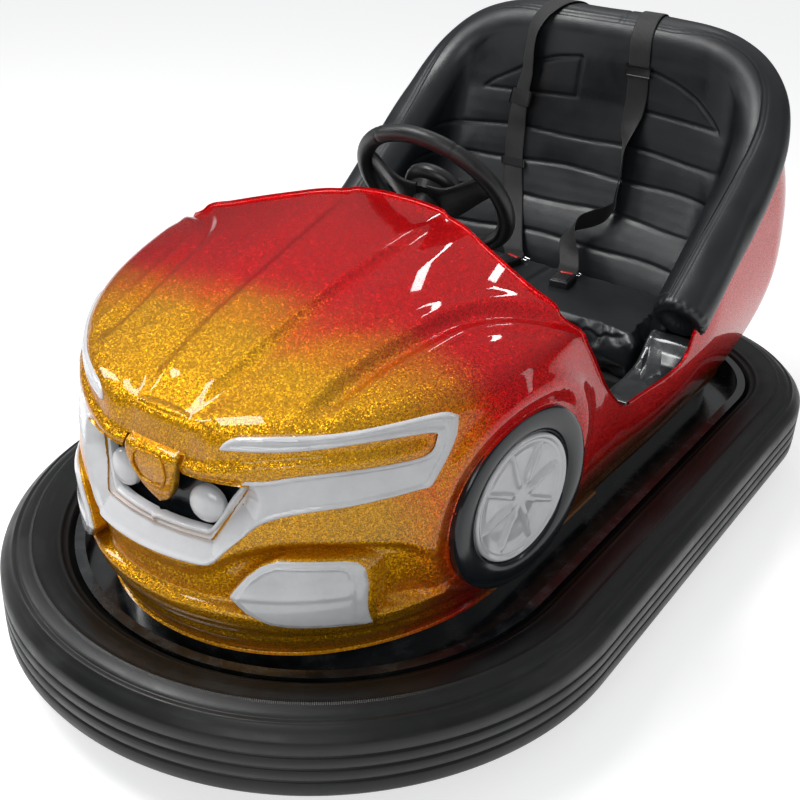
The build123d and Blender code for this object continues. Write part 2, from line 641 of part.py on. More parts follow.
def foot_pedal():
    """Floor pedal: hinge block and sloping tread plate in one piece."""
    base = block(-PEDAL_BASE_HALF, PEDAL_BASE_HALF, *PEDAL_BASE_LONG, 0, PEDAL_BASE_HIGH)
    tread = Pos(0, 0, TREAD_THICK) * (Rot(-PEDAL_TILT, 0, 0) * block(
        -TREAD_HALF, TREAD_HALF, *TREAD_LONG, 0, TREAD_THICK))
    stop = block(-STOP_HALF, STOP_HALF, *STOP_LONG, 0, STOP_HIGH)
    return Pos(PEDAL_X, PEDAL_Y, FLOOR_TOP) * (base + tread + stop)


def drive_bridge():
    """Gantry over the floor's round hole: legs, head tube and gearbox cheeks."""
    deep = BRIDGE_DEEP
    bridge = block(-BRIDGE_HALF, BRIDGE_HALF, SWIVEL_Y - deep, SWIVEL_Y + deep, BRIDGE_Z,
                   BRIDGE_Z + BRIDGE_THICK)
    bridge += both(block(BRIDGE_HALF - BRIDGE_THICK, BRIDGE_HALF, SWIVEL_Y - deep,
                         SWIVEL_Y + deep, FLOOR_TOP, BRIDGE_Z))
    bridge += rod(HEAD_R, (0, SWIVEL_Y, HEAD_LOW), (0, SWIVEL_Y, HEAD_HIGH))
    bridge += both(block(GEARBOX_HALF, GEARBOX_HALF + BRIDGE_THICK, SWIVEL_Y - CHEEK_DEEP,
                         SWIVEL_Y + CHEEK_DEEP, BRIDGE_Z, GEARBOX_HIGH - CHEEK_BELOW_TOP))
    return bridge - rod(STEM_R + SHAFT_PLAY, (0, SWIVEL_Y, HEAD_LOW - 1),
                        (0, SWIVEL_Y, HEAD_HIGH + 1))


def drive_fork():
    """Swivelling fork: stem, thrust collar, crown, two plates, axle and gear case."""
    y, axle_z = SWIVEL_Y, DRIVE_R
    crown_top = CROWN_LOW + CROWN_THICK
    fork = rod(STEM_R, (0, y, CROWN_LOW), (0, y, STEM_TOP))
    fork += rod(COLLAR_WIDE_R, (0, y, crown_top), (0, y, HEAD_LOW - SOFT_GAP))
    outer = FORK_IN + FORK_THICK
    fork += block(-outer, outer, y - CROWN_DEEP, y + CROWN_DEEP, CROWN_LOW, crown_top)
    fork += both(block(FORK_IN, outer, y - FORK_HALF, y + FORK_HALF, axle_z - FORK_BELOW,
                       CROWN_LOW))
    fork += rod(AXLE_R, (-outer, y, axle_z), (outer, y, axle_z))
    case_z = axle_z + FINAL_CASE_UP
    return fork + rod(FINAL_CASE_R, (-outer - FINAL_CASE_LONG, y, case_z), (-outer, y, case_z))


def drive_motor():
    y, z, inner = SWIVEL_Y, DRIVE_R + MOTOR_UP, FORK_IN + FORK_THICK
    outer = inner + MOTOR_LONG
    motor = rod(MOTOR_R, (inner, y, z), (outer, y, z))
    return motor + rod(MOTOR_CAP_R, (outer, y, z), (outer + MOTOR_CAP_LONG, y, z))


def wheel_hub(x, y, radius, wide, boss):
    """Cast centre turned about its axle: rim, web and bored boss."""
    rim, web, boss_r = HUB_RIM, HUB_WEB, HUB_BOSS_R
    low, high = boss
    half = wide / 2
    face = Face(Wire.make_polygon([
        Vector(low, 0, AXLE_R + SHAFT_PLAY), Vector(high, 0, AXLE_R + SHAFT_PLAY),
        Vector(high, 0, boss_r), Vector(web / 2, 0, boss_r), Vector(web / 2, 0, radius - rim),
        Vector(half, 0, radius - rim), Vector(half, 0, radius), Vector(-half, 0, radius),
        Vector(-half, 0, radius - rim), Vector(-web / 2, 0, radius - rim),
        Vector(-web / 2, 0, boss_r), Vector(low, 0, boss_r)], close=True))
    return Pos(x, y, 0) * (Pos(0, 0, REAR_R) * revolve(face, Axis.X))


def wheel_tyre(x, y, radius, inner_r, wide):
    half, shoulder = wide / 2, TYRE_ROUND
    face = Face(Wire([
        Line((-half, 0, inner_r), (half, 0, inner_r)),
        Line((half, 0, inner_r), (half, 0, radius - shoulder)),
        ThreePointArc((half, 0, radius - shoulder), (0, 0, radius), (-half, 0, radius - shoulder)),
        Line((-half, 0, radius - shoulder), (-half, 0, inner_r))]))
    return Pos(x, y, REAR_R) * revolve(face, Axis.X)


def rear_axle():
    """Straight bar through both hangers, with a collar outside each wheel."""
    end = REAR_X + BOSS_OUT + AXLE_END
    bar = rod(AXLE_R, (-end, REAR_Y, REAR_R), (end, REAR_Y, REAR_R))
    collar = rod(COLLAR_R, (REAR_X + BOSS_OUT + COLLAR_GAP, REAR_Y, REAR_R),
                 (end, REAR_Y, REAR_R))
    return bar + both(collar)


def build():
    os.makedirs("parts", exist_ok=True)
    singles = (bumper_tyre, bumper_rim, floor_pan, frame_crossbars, front_cowl, rear_shell,
               front_trim, grille_panel, grille_lamps, dash_panel, column_tube,
               steering_gearbox, steering_rim, steering_hub, seat_base, seat_cushion,
               seat_back, seat_roll, belt_buckles, battery_block, foot_pedal, drive_bridge,
               drive_fork, drive_motor, rear_axle)
    for piece in singles:
        save(piece(), piece.__name__)
    pairs = (frame_rail, fog_lamp, dummy_tyre, dummy_hub, sill_pad)
    for piece in pairs:
        left = piece()
        save(left, piece.__name__ + "_left")
        save(mirror(left, Plane.YZ), piece.__name__ + "_right")
    for side, x in zip(("right", "left"), BELT_XS):
        save(belt(x), "shoulder_belt_" + side)
    save(wheel_hub(0, SWIVEL_Y, DRIVE_HUB_R, DRIVE_TYRE_WIDE, (-DRIVE_BOSS, DRIVE_BOSS)),
         "drive_hub")
    save(wheel_tyre(0, SWIVEL_Y, DRIVE_R, DRIVE_HUB_R, DRIVE_TYRE_WIDE), "drive_tyre")
    for side, way in (("left", 1), ("right", -1)):
        boss = (BOSS_IN, BOSS_OUT) if way > 0 else (-BOSS_OUT, -BOSS_IN)
        save(wheel_hub(way * REAR_X, REAR_Y, REAR_HUB_R, REAR_TYRE_WIDE, boss),
             "rear_hub_" + side)
        save(wheel_tyre(way * REAR_X, REAR_Y, REAR_R, REAR_HUB_R, REAR_TYRE_WIDE),
             "rear_tyre_" + side)


build()
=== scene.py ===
from math import atan2, cos, pi, radians, sin, sqrt

import bmesh
import bpy
import numpy as np
from mathutils import Matrix, Vector
from mathutils.bvhtree import BVHTree


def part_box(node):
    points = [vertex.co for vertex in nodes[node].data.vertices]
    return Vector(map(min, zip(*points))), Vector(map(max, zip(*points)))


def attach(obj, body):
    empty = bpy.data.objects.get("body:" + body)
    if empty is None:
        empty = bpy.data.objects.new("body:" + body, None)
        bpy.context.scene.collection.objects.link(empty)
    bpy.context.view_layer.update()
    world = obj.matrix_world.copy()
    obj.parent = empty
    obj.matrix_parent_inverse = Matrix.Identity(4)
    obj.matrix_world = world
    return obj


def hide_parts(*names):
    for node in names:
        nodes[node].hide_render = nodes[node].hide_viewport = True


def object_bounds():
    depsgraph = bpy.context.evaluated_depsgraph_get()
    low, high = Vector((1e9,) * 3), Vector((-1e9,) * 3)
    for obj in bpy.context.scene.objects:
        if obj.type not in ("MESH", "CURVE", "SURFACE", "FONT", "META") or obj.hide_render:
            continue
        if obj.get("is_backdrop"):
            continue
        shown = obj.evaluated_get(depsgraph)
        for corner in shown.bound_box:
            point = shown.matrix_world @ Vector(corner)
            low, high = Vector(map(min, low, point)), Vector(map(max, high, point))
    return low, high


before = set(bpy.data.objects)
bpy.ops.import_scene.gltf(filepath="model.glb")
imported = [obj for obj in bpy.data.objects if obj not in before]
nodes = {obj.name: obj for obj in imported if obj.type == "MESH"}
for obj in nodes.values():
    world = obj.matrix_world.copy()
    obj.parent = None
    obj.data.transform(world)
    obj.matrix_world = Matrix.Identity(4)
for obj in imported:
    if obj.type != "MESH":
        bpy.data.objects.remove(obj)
cad_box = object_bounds()
scene = bpy.context.scene
scene.view_settings.view_transform = "Standard"


# Camera: looks down at the left front corner of the car from about 2.3 m, as a
# person standing beside it would, with the small tilt of a camera held by hand.
VIEW_AZIMUTH, VIEW_ELEVATION, VIEW_ROLL = radians(33.11), radians(28.17), radians(2.83)
VIEW_DISTANCE, VIEW_TARGET = 2.3247, Vector((-0.0083, -0.1452, 0.3299))
LENS_MM, SENSOR_MM = 53.4, 36.0

camera_data = bpy.data.cameras.new("camera")
camera = bpy.data.objects.new("camera", camera_data)
scene.collection.objects.link(camera)
scene.camera = camera
camera_data.lens = LENS_MM
camera_data.sensor_width = SENSOR_MM
to_camera = Vector((sin(VIEW_AZIMUTH) * cos(VIEW_ELEVATION), -cos(VIEW_AZIMUTH) * cos(VIEW_ELEVATION),
                    sin(VIEW_ELEVATION)))
right = Vector((0, 0, 1)).cross(to_camera).normalized()
up = to_camera.cross(right)
level = right * cos(VIEW_ROLL) + up * sin(VIEW_ROLL)
tilted = up * cos(VIEW_ROLL) - right * sin(VIEW_ROLL)
camera.matrix_world = Matrix.Translation(VIEW_TARGET + to_camera * VIEW_DISTANCE) @ Matrix(
    (level, tilted, to_camera)).transposed().to_4x4()


# Floor and light: a plain pale floor that the camera sees as white, a hall that is
# darker towards its walls, and soft lamps with two narrow ones for the gloss lines.
def new_material(name):
    """A new node material with its Principled shader ready for values."""
    material = bpy.data.materials.new(name)
    material.use_nodes = True
    return material, material.node_tree.nodes["Principled BSDF"]


def add_node(material, kind, links=(), **values):
    """A shader node, its named inputs set to values or to other nodes' outputs."""
    node = material.node_tree.nodes.new(kind)
    for key, value in values.items():
        setattr(node, key, value)
    for socket, value in links:
        if isinstance(value, bpy.types.NodeSocket):
            material.node_tree.links.new(value, node.inputs[socket])
        else:
            node.inputs[socket].default_value = value
    return node


def link(material, output, shader_input):
    material.node_tree.links.new(output, shader_input)


def sums(material, operation, *values):
    """A chain of one arithmetic step over sockets and numbers."""
    total = values[0]
    for value in values[1:]:
        total = add_node(material, "ShaderNodeMath", [(0, total), (1, value)],
                         operation=operation).outputs["Value"]
    return total


def between(material, value, low, high, start=0.0, stop=1.0, curve="LINEAR"):
    """A value that goes from start to stop while a socket's value goes from low to high."""
    return add_node(material, "ShaderNodeMapRange", [
        ("Value", value), ("From Min", low), ("From Max", high), ("To Min", start), ("To Max", stop)],
        interpolation_type=curve).outputs["Result"]


FLOOR_GREY, FLOOR_GLOW, FLOOR_HALF = (0.58, 0.58, 0.58, 1), 0.62, 14
ROOM_GREY, ROOM_WALLS, ROOM_ROOF = (0.93, 0.95, 0.97, 1), 0.12, 0.52
floor_mesh = bpy.data.meshes.new("floor")
floor_mesh.from_pydata([(-FLOOR_HALF, -FLOOR_HALF, 0), (FLOOR_HALF, -FLOOR_HALF, 0),
                        (FLOOR_HALF, FLOOR_HALF, 0), (-FLOOR_HALF, FLOOR_HALF, 0)], [], [(0, 1, 2, 3)])
floor = bpy.data.objects.new("floor", floor_mesh)
scene.collection.objects.link(floor)
floor_paint, shader = new_material("floor_paint")
shader.inputs["Base Color"].default_value = FLOOR_GREY
shader.inputs["Roughness"].default_value = 0.6
seen_by = add_node(floor_paint, "ShaderNodeLightPath")
seen = sums(floor_paint, "MAXIMUM", seen_by.outputs["Is Camera Ray"], seen_by.outputs["Is Glossy Ray"],
            seen_by.outputs["Is Transmission Ray"])
link(floor_paint, sums(floor_paint, "MULTIPLY", seen, FLOOR_GLOW), shader.inputs["Emission Strength"])
shader.inputs["Emission Color"].default_value = (1, 1, 1, 1)
shader.inputs["Specular IOR Level"].default_value = 0.0
floor_mesh.materials.append(floor_paint)
floor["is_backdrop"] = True

world = bpy.data.worlds.new("room")
scene.world = world
world.use_nodes = True
world.node_tree.nodes["Background"].inputs["Color"].default_value = ROOM_GREY
direction = add_node(world, "ShaderNodeTexCoord")
height = add_node(world, "ShaderNodeSeparateXYZ", [("Vector", direction.outputs["Generated"])])
link(world, between(world, height.outputs["Z"], 0.05, 0.85, ROOM_WALLS, ROOM_ROOF, "SMOOTHSTEP"),
     world.node_tree.nodes["Background"].inputs["Strength"])

SOFT_BOXES = (  # name, place, aims at, width, height, watts
    ("light_overhead", (-1.6, -1.4, 4.2), (0, -0.3, 0.5), 2.0, 1.2, 120),
    ("light_front", (1.6, -4.4, 2.6), (0, -0.4, 0.4), 3.2, 1.6, 52),
    ("light_left", (3.4, 1.2, 1.7), (0.3, 0.1, 0.4), 0.25, 1.6, 5),
    ("light_roof_one", (-0.9, 1.4, 2.9), (0, -0.1, 0.5), 0.08, 0.60, 3.5),
    ("light_roof_two", (-0.3, 1.7, 2.9), (0, -0.1, 0.5), 0.08, 0.45, 3),
    ("light_right", (-2.8, -1.2, 2.2), (0, -0.3, 0.5), 0.4, 1.6, 24))
for name, place, aim, wide, high, watts in SOFT_BOXES:
    lamp = bpy.data.lights.new(name, "AREA")
    lamp.shape = "RECTANGLE"
    lamp.size, lamp.size_y, lamp.energy = wide, high, watts
    holder = bpy.data.objects.new(name, lamp)
    scene.collection.objects.link(holder)
    holder.location = place
    holder.rotation_euler = (Vector(aim) - Vector(place)).to_track_quat("-Z", "Y").to_euler()


# Bumper tyre: one inflated rubber ring all round the car, with square shoulders,
# three tread grooves and fine moulding lines; scuffed grey where cars have hit it.
RING_HALF = 0.577
RING_ENDS = ((-1, 0.975, 0.6156, 0.560), (1, 0.975, 0.385, 0.830))  # way, reach, side arc, end arc


def rounded_end(half, reach, side_r, end_r, way, steps):
    """Plan points and outward directions from the +X side round one end to the -X side."""
    blunt = 1 if end_r > side_r else -1
    along = sqrt((end_r - side_r) ** 2 - (half - side_r) ** 2)
    end_y = reach - end_r
    side_y = end_y + blunt * along
    join = atan2(along, blunt * (half - side_r))
    total = side_r * join + end_r * (pi / 2 - join)
    points, ways = [], []
    for i in range(2 * steps + 1):
        run = total * min(i, 2 * steps - i) / steps
        if run < side_r * join:
            angle, middle, radius = run / side_r, (half - side_r, side_y), side_r
        else:
            angle, middle, radius = join + (run - side_r * join) / end_r, (0, end_y), end_r
        mirror = 1 if i <= steps else -1
        out = np.array([cos(angle) * mirror, sin(angle) * way])
        points.append((middle[0] * mirror + radius * out[0], middle[1] * way + radius * out[1]))
        ways.append(out)
    return np.array(points), np.array(ways)


def closed_ring(half, ends, end_steps, side_steps):
    """Plan points and outward directions once round, starting at the +X side going rearwards."""
    (f_way, f_reach, f_side, f_end), (r_way, r_reach, r_side, r_end) = ends
    front, front_ways = rounded_end(half, f_reach, f_side, f_end, f_way, end_steps)
    rear, rear_ways = rounded_end(half, r_reach, r_side, r_end, r_way, end_steps)
    side = np.linspace(0, 1, side_steps, endpoint=False)[1:, None]
    right_side = front[0] + (rear[0] - front[0]) * side
    left_side = rear[-1] + (front[-1] - rear[-1]) * side
    points = np.concatenate([right_side, rear, left_side, front[::-1]])
    ways = np.concatenate([np.tile([1.0, 0.0], (len(right_side), 1)), rear_ways,
                           np.tile([-1.0, 0.0], (len(left_side), 1)), front_ways[::-1]])
    return points, ways


def grid_faces(rows, columns, close_rows=False, close_columns=False):
    """Quads between rows and columns of points numbered row by row."""
    faces = []
    for r in range(rows if close_rows else rows - 1):
        for c in range(columns if close_columns else columns - 1):
            a, b = r * columns + c, r * columns + (c + 1) % columns
            d, e = ((r + 1) % rows) * columns + c, ((r + 1) % rows) * columns + (c + 1) % columns
            faces.append((a, b, e, d))
    return faces


def swept_ring(name, profile, half, ends, end_steps=64, side_steps=60):
    """Sweeps a closed section of (inward, height) pairs round the car."""
    path, ways = closed_ring(half, ends, end_steps, side_steps)
    profile = np.array(profile)
    plan = path[:, None, :] - ways[:, None, :] * profile[None, :, :1]
    heights = np.broadcast_to(profile[None, :, 1:], plan.shape[:2] + (1,))
    points = np.concatenate([plan, heights], axis=2).reshape(-1, 3)
    run = np.concatenate([[0], np.cumsum(np.linalg.norm(np.diff(path, axis=0), axis=1))])
    across = np.concatenate([[0], np.cumsum(np.linalg.norm(np.diff(profile, axis=0), axis=1))])
    uv = np.stack(np.meshgrid(run, across, indexing="ij"), axis=2).reshape(-1, 2)
    faces = grid_faces(len(path), len(profile), close_rows=True, close_columns=True)
    mesh = bpy.data.meshes.new(name)
    mesh.from_pydata([tuple(p) for p in points], [], faces)
    mesh.validate()
    mesh.polygons.foreach_set("use_smooth", [True] * len(mesh.polygons))
    layer = mesh.uv_layers.new(name="along_across")
    corners = np.zeros(len(mesh.loops), int)
    mesh.loops.foreach_get("vertex_index", corners)
    layer.data.foreach_set("uv", np.asarray(uv, np.float32)[corners].ravel())
    piece = bpy.data.objects.new(name, mesh)
    scene.collection.objects.link(piece)
    return piece


def arc_points(start, middle, end, steps):
    """Points of the circle through three plane points, ends included."""
    (ax, ay), (bx, by), (cx, cy) = start, middle, end
    d = 2 * (ax * (by - cy) + bx * (cy - ay) + cx * (ay - by))
    squares = (ax * ax + ay * ay, bx * bx + by * by, cx * cx + cy * cy)
    ux = (squares[0] * (by - cy) + squares[1] * (cy - ay) + squares[2] * (ay - by)) / d
    uy = (squares[0] * (cx - bx) + squares[1] * (ax - cx) + squares[2] * (bx - ax)) / d
    first, mid, last = (atan2(y - uy, x - ux) for x, y in (start, middle, end))
    sweep = (last - first) % (2 * pi)
    if (mid - first) % (2 * pi) > sweep:
        sweep -= 2 * pi
    radius = sqrt((ax - ux) ** 2 + (ay - uy) ** 2)
    return [(ux + radius * cos(first + sweep * i / steps), uy + radius * sin(first + sweep * i / steps))
            for i in range(steps + 1)]


def noise(material, scale, detail, roughness=0.5, vector=None):
    """Cloudy noise, fixed to the object where no other vector is given."""
    if vector is None:
        vector = add_node(material, "ShaderNodeTexCoord").outputs["Object"]
    return add_node(material, "ShaderNodeTexNoise", [
        ("Vector", vector), ("Scale", scale), ("Detail", detail), ("Roughness", roughness)]).outputs["Fac"]


def two_shades(material, value, dark_at, light_at, dark, light):
    """A colour from a dark shade to a light one while a value passes two marks."""
    ramp = add_node(material, "ShaderNodeValToRGB", [("Fac", value)])
    for mark, place, colour in zip(ramp.color_ramp.elements, (dark_at, light_at), (dark, light)):
        mark.position = place
        mark.color = (*colour, 1)
    return ramp.outputs["Color"]


def relief(material, height, strength, distance, over=None):
    """The surface raised by a height, on top of another relief where one is given."""
    links = [("Height", height), ("Strength", strength), ("Distance", distance)]
    if over is not None:
        links.append(("Normal", over))
    return add_node(material, "ShaderNodeBump", links).outputs["Normal"]


BEAD_IN, BEAD_LOW, BEAD_HIGH = 0.133, 0.092, 0.180
TREAD_LOW, TREAD_HIGH, SHOULDER = 0.085, 0.183, 0.014
TYRE_TOP, TYRE_BOTTOM, SIDE_IN = 0.215, 0.055, 0.072
GROOVES, GROOVE_HALF, GROOVE_DEEP, GROOVE_SOFT = (0.112, 0.136, 0.160), 0.0026, 0.0045, 0.0012
WALL_RINGS = ((0.0225, 0.0016, 0.0014), (0.030, 0.0012, -0.0012), (0.056, 0.0012, 0.0009),
              (0.104, 0.0020, 0.0016), (0.116, 0.0016, 0.0012))  # how far in, half width, height


def tyre_profile():
    """The tyre's closed section, fine only where a moulded ring stands on its wall."""
    plain = arc_points((BEAD_IN, BEAD_HIGH), (SIDE_IN, TYRE_TOP), (SHOULDER, TREAD_HIGH + SHOULDER), 120)
    upper = []
    for k, (inward, z) in enumerate(plain):
        lift = sum(high * max(0.0, 1 - ((inward - at) / (2 * wide)) ** 2) for at, wide, high in WALL_RINGS
                   if abs(inward - at) < 2 * wide)
        if k % 6 == 0 or lift:
            upper.append((inward, z + lift))
    lower = arc_points((SHOULDER, TREAD_LOW - SHOULDER), (SIDE_IN, TYRE_BOTTOM), (BEAD_IN, BEAD_LOW), 16)
    tread = [(0.004, TREAD_HIGH + 0.004), (0.0008, TREAD_HIGH - 0.002)]
    for z in reversed(GROOVES):
        tread += [(0, z + GROOVE_HALF + GROOVE_SOFT), (0.0012, z + GROOVE_HALF),
                  (GROOVE_DEEP, z + GROOVE_HALF - 0.0008), (GROOVE_DEEP, z - GROOVE_HALF + 0.0008),
                  (0.0012, z - GROOVE_HALF), (0, z - GROOVE_HALF - GROOVE_SOFT)]
    tread += [(0.0008, TREAD_LOW + 0.002), (0.004, TREAD_LOW - 0.004)]
    return upper + tread + lower


RIB_BAND = (0.089, 0.0055)  # distance from the bead to the band of fine ribs, half its width
bumper_tyre = swept_ring("bumper_tyre_ring", tyre_profile(), RING_HALF, RING_ENDS)

rubber, shader = new_material("worn_black_rubber")
round_tyre = add_node(rubber, "ShaderNodeTexCoord").outputs["UV"]
stretch = add_node(rubber, "ShaderNodeMapping", [("Vector", round_tyre), ("Scale", (9.0, 120.0, 1.0))])
scuffs = noise(rubber, 9.0, 8.0, 0.7)
streaks = noise(rubber, 1.0, 5.0, 0.65, stretch.outputs["Vector"])
wear = sums(rubber, "MULTIPLY", scuffs, streaks)
link(rubber, two_shades(rubber, wear, 0.26, 0.52, (0.0040, 0.0043, 0.0045), (0.016, 0.017, 0.0175)),
     shader.inputs["Base Color"])
link(rubber, between(rubber, scuffs, 0.3, 0.7, 0.30, 0.52), shader.inputs["Roughness"])
across_wall = add_node(rubber, "ShaderNodeSeparateXYZ", [("Vector", round_tyre)])
ribs = add_node(rubber, "ShaderNodeTexWave", [("Vector", round_tyre), ("Scale", 90.0)], bands_direction="X")
band = add_node(rubber, "ShaderNodeMath", [(0, across_wall.outputs["Y"]), (1, RIB_BAND[0]), (2, RIB_BAND[1])],
                operation="COMPARE")
rib_height = sums(rubber, "MULTIPLY", ribs.outputs["Fac"], band.outputs["Value"])
link(rubber, relief(rubber, rib_height, 0.35, 0.0012, relief(rubber, streaks, 0.10, 0.0010)),
     shader.inputs["Normal"])
shader.inputs["Specular IOR Level"].default_value = 0.38
bumper_tyre.data.materials.append(rubber)
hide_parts("bumper_tyre")
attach(bumper_tyre, "root")


# Steel floor and frame: pressed floor, tube frame, rim band and brackets, all
# painted gloss black, scratched and dusty where feet and tools have been.
black_steel, shader = new_material("black_painted_steel")
dust = noise(black_steel, 22.0, 7.0, 0.7)
link(black_steel, two_shades(black_steel, dust, 0.45, 0.75, (0.006, 0.007, 0.008), (0.030, 0.032, 0.034)),
     shader.inputs["Base Color"])
link(black_steel, between(black_steel, dust, 0.35, 0.75, 0.12, 0.38), shader.inputs["Roughness"])
link(black_steel, relief(black_steel, dust, 0.1, 0.001), shader.inputs["Normal"])
shader.inputs["Coat Weight"].default_value = 0.5
shader.inputs["Coat Roughness"].default_value = 0.08


def give_finish(material, *names):
    """Puts one finish on the frame's own pieces."""
    for name in names:
        mesh = nodes[name].data
        mesh.materials.clear()
        mesh.materials.append(material)


give_finish(black_steel, "bumper_rim", "floor_pan", "frame_crossbars", "frame_rail_left",
            "frame_rail_right", "column_tube", "drive_bridge", "foot_pedal")


# Body shell: one glass-fibre moulding with the hood, the flanks and the tail in
# one skin, sprayed with metal flake from gold at the nose to candy red, under
# thick clear coat. It is laid up 6 mm thick, black inside, with rolled edges.
WALL, EDGE_ROLL, LINING_GAP = 0.006, 0.0022, 0.004
SKIN_LOW = 0.195
FRONT_OUTLINES = (  # height, half width, nose reach, side arc, nose arc
    (0.195, 0.358, 0.792, 0.494, 0.315), (0.285, 0.388, 0.826, 0.520, 0.335),
    (0.395, 0.404, 0.842, 0.520, 0.350), (0.520, 0.414, 0.824, 0.520, 0.355),
    (0.760, 0.412, 0.770, 0.520, 0.350))
FRONT_TOP = FRONT_OUTLINES[-1][0]
HOOD_LINE = (  # place along Y, height on the centre line, fall for each square metre off it
    (-0.92, 0.540, 0.00), (-0.80, 0.592, 0.05), (-0.70, 0.631, 0.28), (-0.60, 0.664, 0.34),
    (-0.473, 0.697, 0.40), (-0.337, 0.727, 0.44), (-0.185, 0.756, 0.48), (0.06, 0.797, 0.50))
HOOD_FEATURES = (  # line in plan (x, y); profile across it (distance outwards, height); fades at ends
    # crease of the centre panel with its valley
    (((0.040, -0.830), (0.043, -0.784), (0.050, -0.690), (0.058, -0.588), (0.064, -0.473),
      (0.077, -0.337), (0.094, -0.185), (0.112, -0.060)),
     ((-0.030, 0), (-0.010, 0.0015), (0, 0.0010), (0.010, -0.0052), (0.019, -0.0074), (0.032, -0.0062),
      (0.052, -0.0025), (0.075, 0)), (0.04, 0.14), (-0.10, 0.34)),
    # scoop over the headlamp, from its pointed tip back to the hood's corner
    (((0.191, -0.742), (0.196, -0.680), (0.204, -0.615), (0.224, -0.509), (0.250, -0.411),
      (0.290, -0.345), (0.343, -0.297), (0.400, -0.262), (0.440, -0.240)),
     ((-0.030, 0), (-0.008, 0.0020), (0, 0.0010), (0.008, -0.0080), (0.016, -0.0125), (0.026, -0.0100),
      (0.042, -0.0020), (0.047, -0.0010), (0.060, -0.0025), (0.085, 0)), (0.0, 0.16), (0.20, 0.25)))
DIP_DEEP, DIP_ALONG, DIP_ACROSS = 0.010, (0.72, 0.785), (0.05, 0.09)  # the hood dips behind the tooth
SHOULDER_SOFT = ((-0.85, 0.020), (-0.70, 0.030), (-0.55, 0.036), (-0.40, 0.028), (-0.30, 0.014),
                 (-0.10, 0.012))  # place along Y, radius between hood and flank
DUMMY_CENTRE, DUMMY_YAW = np.array((0.404, -0.405, 0.400)), radians(-10)
DUMMY_R, WHEEL_GAP = 0.162, 0.0012
DUMMY_OUT = np.array((cos(DUMMY_YAW), sin(DUMMY_YAW), 0.0))
ARCH_PROFILE = ((0.160, -0.004), (0.172, -0.001), (0.186, 0.007), (0.197, 0.0105), (0.206, 0.008),
                (0.222, 0.001), (0.240, -0.001), (0.270, 0))  # distance from the wheel's axis, height
FOOT_PROFILE = ((0.195, 0.003), (0.200, 0.004), (0.224, 0.004), (0.229, 0.001), (0.235, 0.0),
                (0.250, 0.0), (0.30, 0))  # height up the skin, how far it stands out
FUNNEL = ((-0.03, 0.376), (0.118, 0.380), (0.135, 0.404), (0.160, 0.434), (0.176, 0.462), (0.180, 0.490),
          (0.168, 0.524), (0.10, 0.56), (-0.03, 0.56))  # the nose sinks inside this line towards the grille
FUNNEL_SLOPE, FUNNEL_DEEP = 0.75, 0.027
GRILLE = ((-0.03, 0.4070), (0.109, 0.4070), (0.1245, 0.442), (0.1370, 0.473), (0.1515, 0.498),
          (0.166, 0.520), (0.112, 0.518), (0.086, 0.513), (0.070, 0.510), (0.0585, 0.520), (0.0565, 0.539),
          (-0.03, 0.539))
BROW = ((0.060, 0.530), (0.084, 0.529), (0.099, 0.533), (0.138, 0.541), (0.188, 0.551), (0.232, 0.557),
        (0.282, 0.561), (0.319, 0.565), (0.350, 0.567))
BROW_PROFILE = ((-0.024, 0), (-0.012, -0.003), (-0.003, -0.001), (0.0, 0.004), (0.004, 0.006), (0.013, 0.004),
                (0.024, 0))  # distance across the brow's line, height
HOLLOW = (  # place along X: top of the hollow under the lamps, its shelf's height, its depth
    (0.0, 0.372, 0.300, 0.010), (0.10, 0.378, 0.300, 0.012), (0.15, 0.412, 0.298, 0.017),
    (0.20, 0.432, 0.290, 0.019), (0.27, 0.430, 0.285, 0.019), (0.31, 0.420, 0.284, 0.016),
    (0.345, 0.400, 0.292, 0.008), (0.37, 0.38, 0.30, 0.0))
SHELF_PROUD, SHELF_HIGH = 0.010, 0.044
TOOTH_SEAT = 0.014  # how far the skin is set back behind the tooth
OPENING_LINE = (  # the cockpit's edge from the side, along Y and Z: hood lip, door notch, sill, roll
    (-0.180, 0.80), (-0.186, 0.757), (-0.204, 0.743), (-0.240, 0.723), (-0.270, 0.695), (-0.281, 0.664),
    (-0.265, 0.632), (-0.235, 0.598), (-0.164, 0.516), (-0.115, 0.471), (-0.062, 0.431), (-0.025, 0.411),
    (0.020, 0.401), (0.10, 0.402), (0.160, 0.412), (0.190, 0.440), (0.205, 0.503), (0.330, 0.596),
    (0.450, 0.686), (0.540, 0.762), (0.600, 0.836), (0.632, 0.888), (0.643, 0.915), (0.70, 0.919),
    (0.95, 0.919))


def smooth_table(table, at):
    """Rows of a table, its first column the key, joined by smooth curves."""
    table = np.asarray(table, float)
    keys, rows = table[:, 0], table[:, 1:]
    slopes = np.gradient(rows, keys, axis=0)
    i = np.clip(np.searchsorted(keys, at) - 1, 0, len(keys) - 2)
    step = (keys[i + 1] - keys[i])[:, None]
    t = np.clip((at - keys[i])[:, None] / step, 0, 1)
    return ((2 * t**3 - 3 * t**2 + 1) * rows[i] + (t**3 - 2 * t**2 + t) * step * slopes[i]
            + (3 * t**2 - 2 * t**3) * rows[i + 1] + (t**3 - t**2) * step * slopes[i + 1])


def soft_step(low, high, value):
    t = np.clip((value - low) / (high - low), 0, 1)
    return t * t * (3 - 2 * t)


def soft_line(points, steps=8):
    """A smooth curve through given plane points."""
    points = np.asarray(points, float)
    keys = np.arange(len(points), dtype=float)
    at = np.linspace(0, len(points) - 1, (len(points) - 1) * steps + 1)
    return smooth_table(np.column_stack([keys, points]), at)


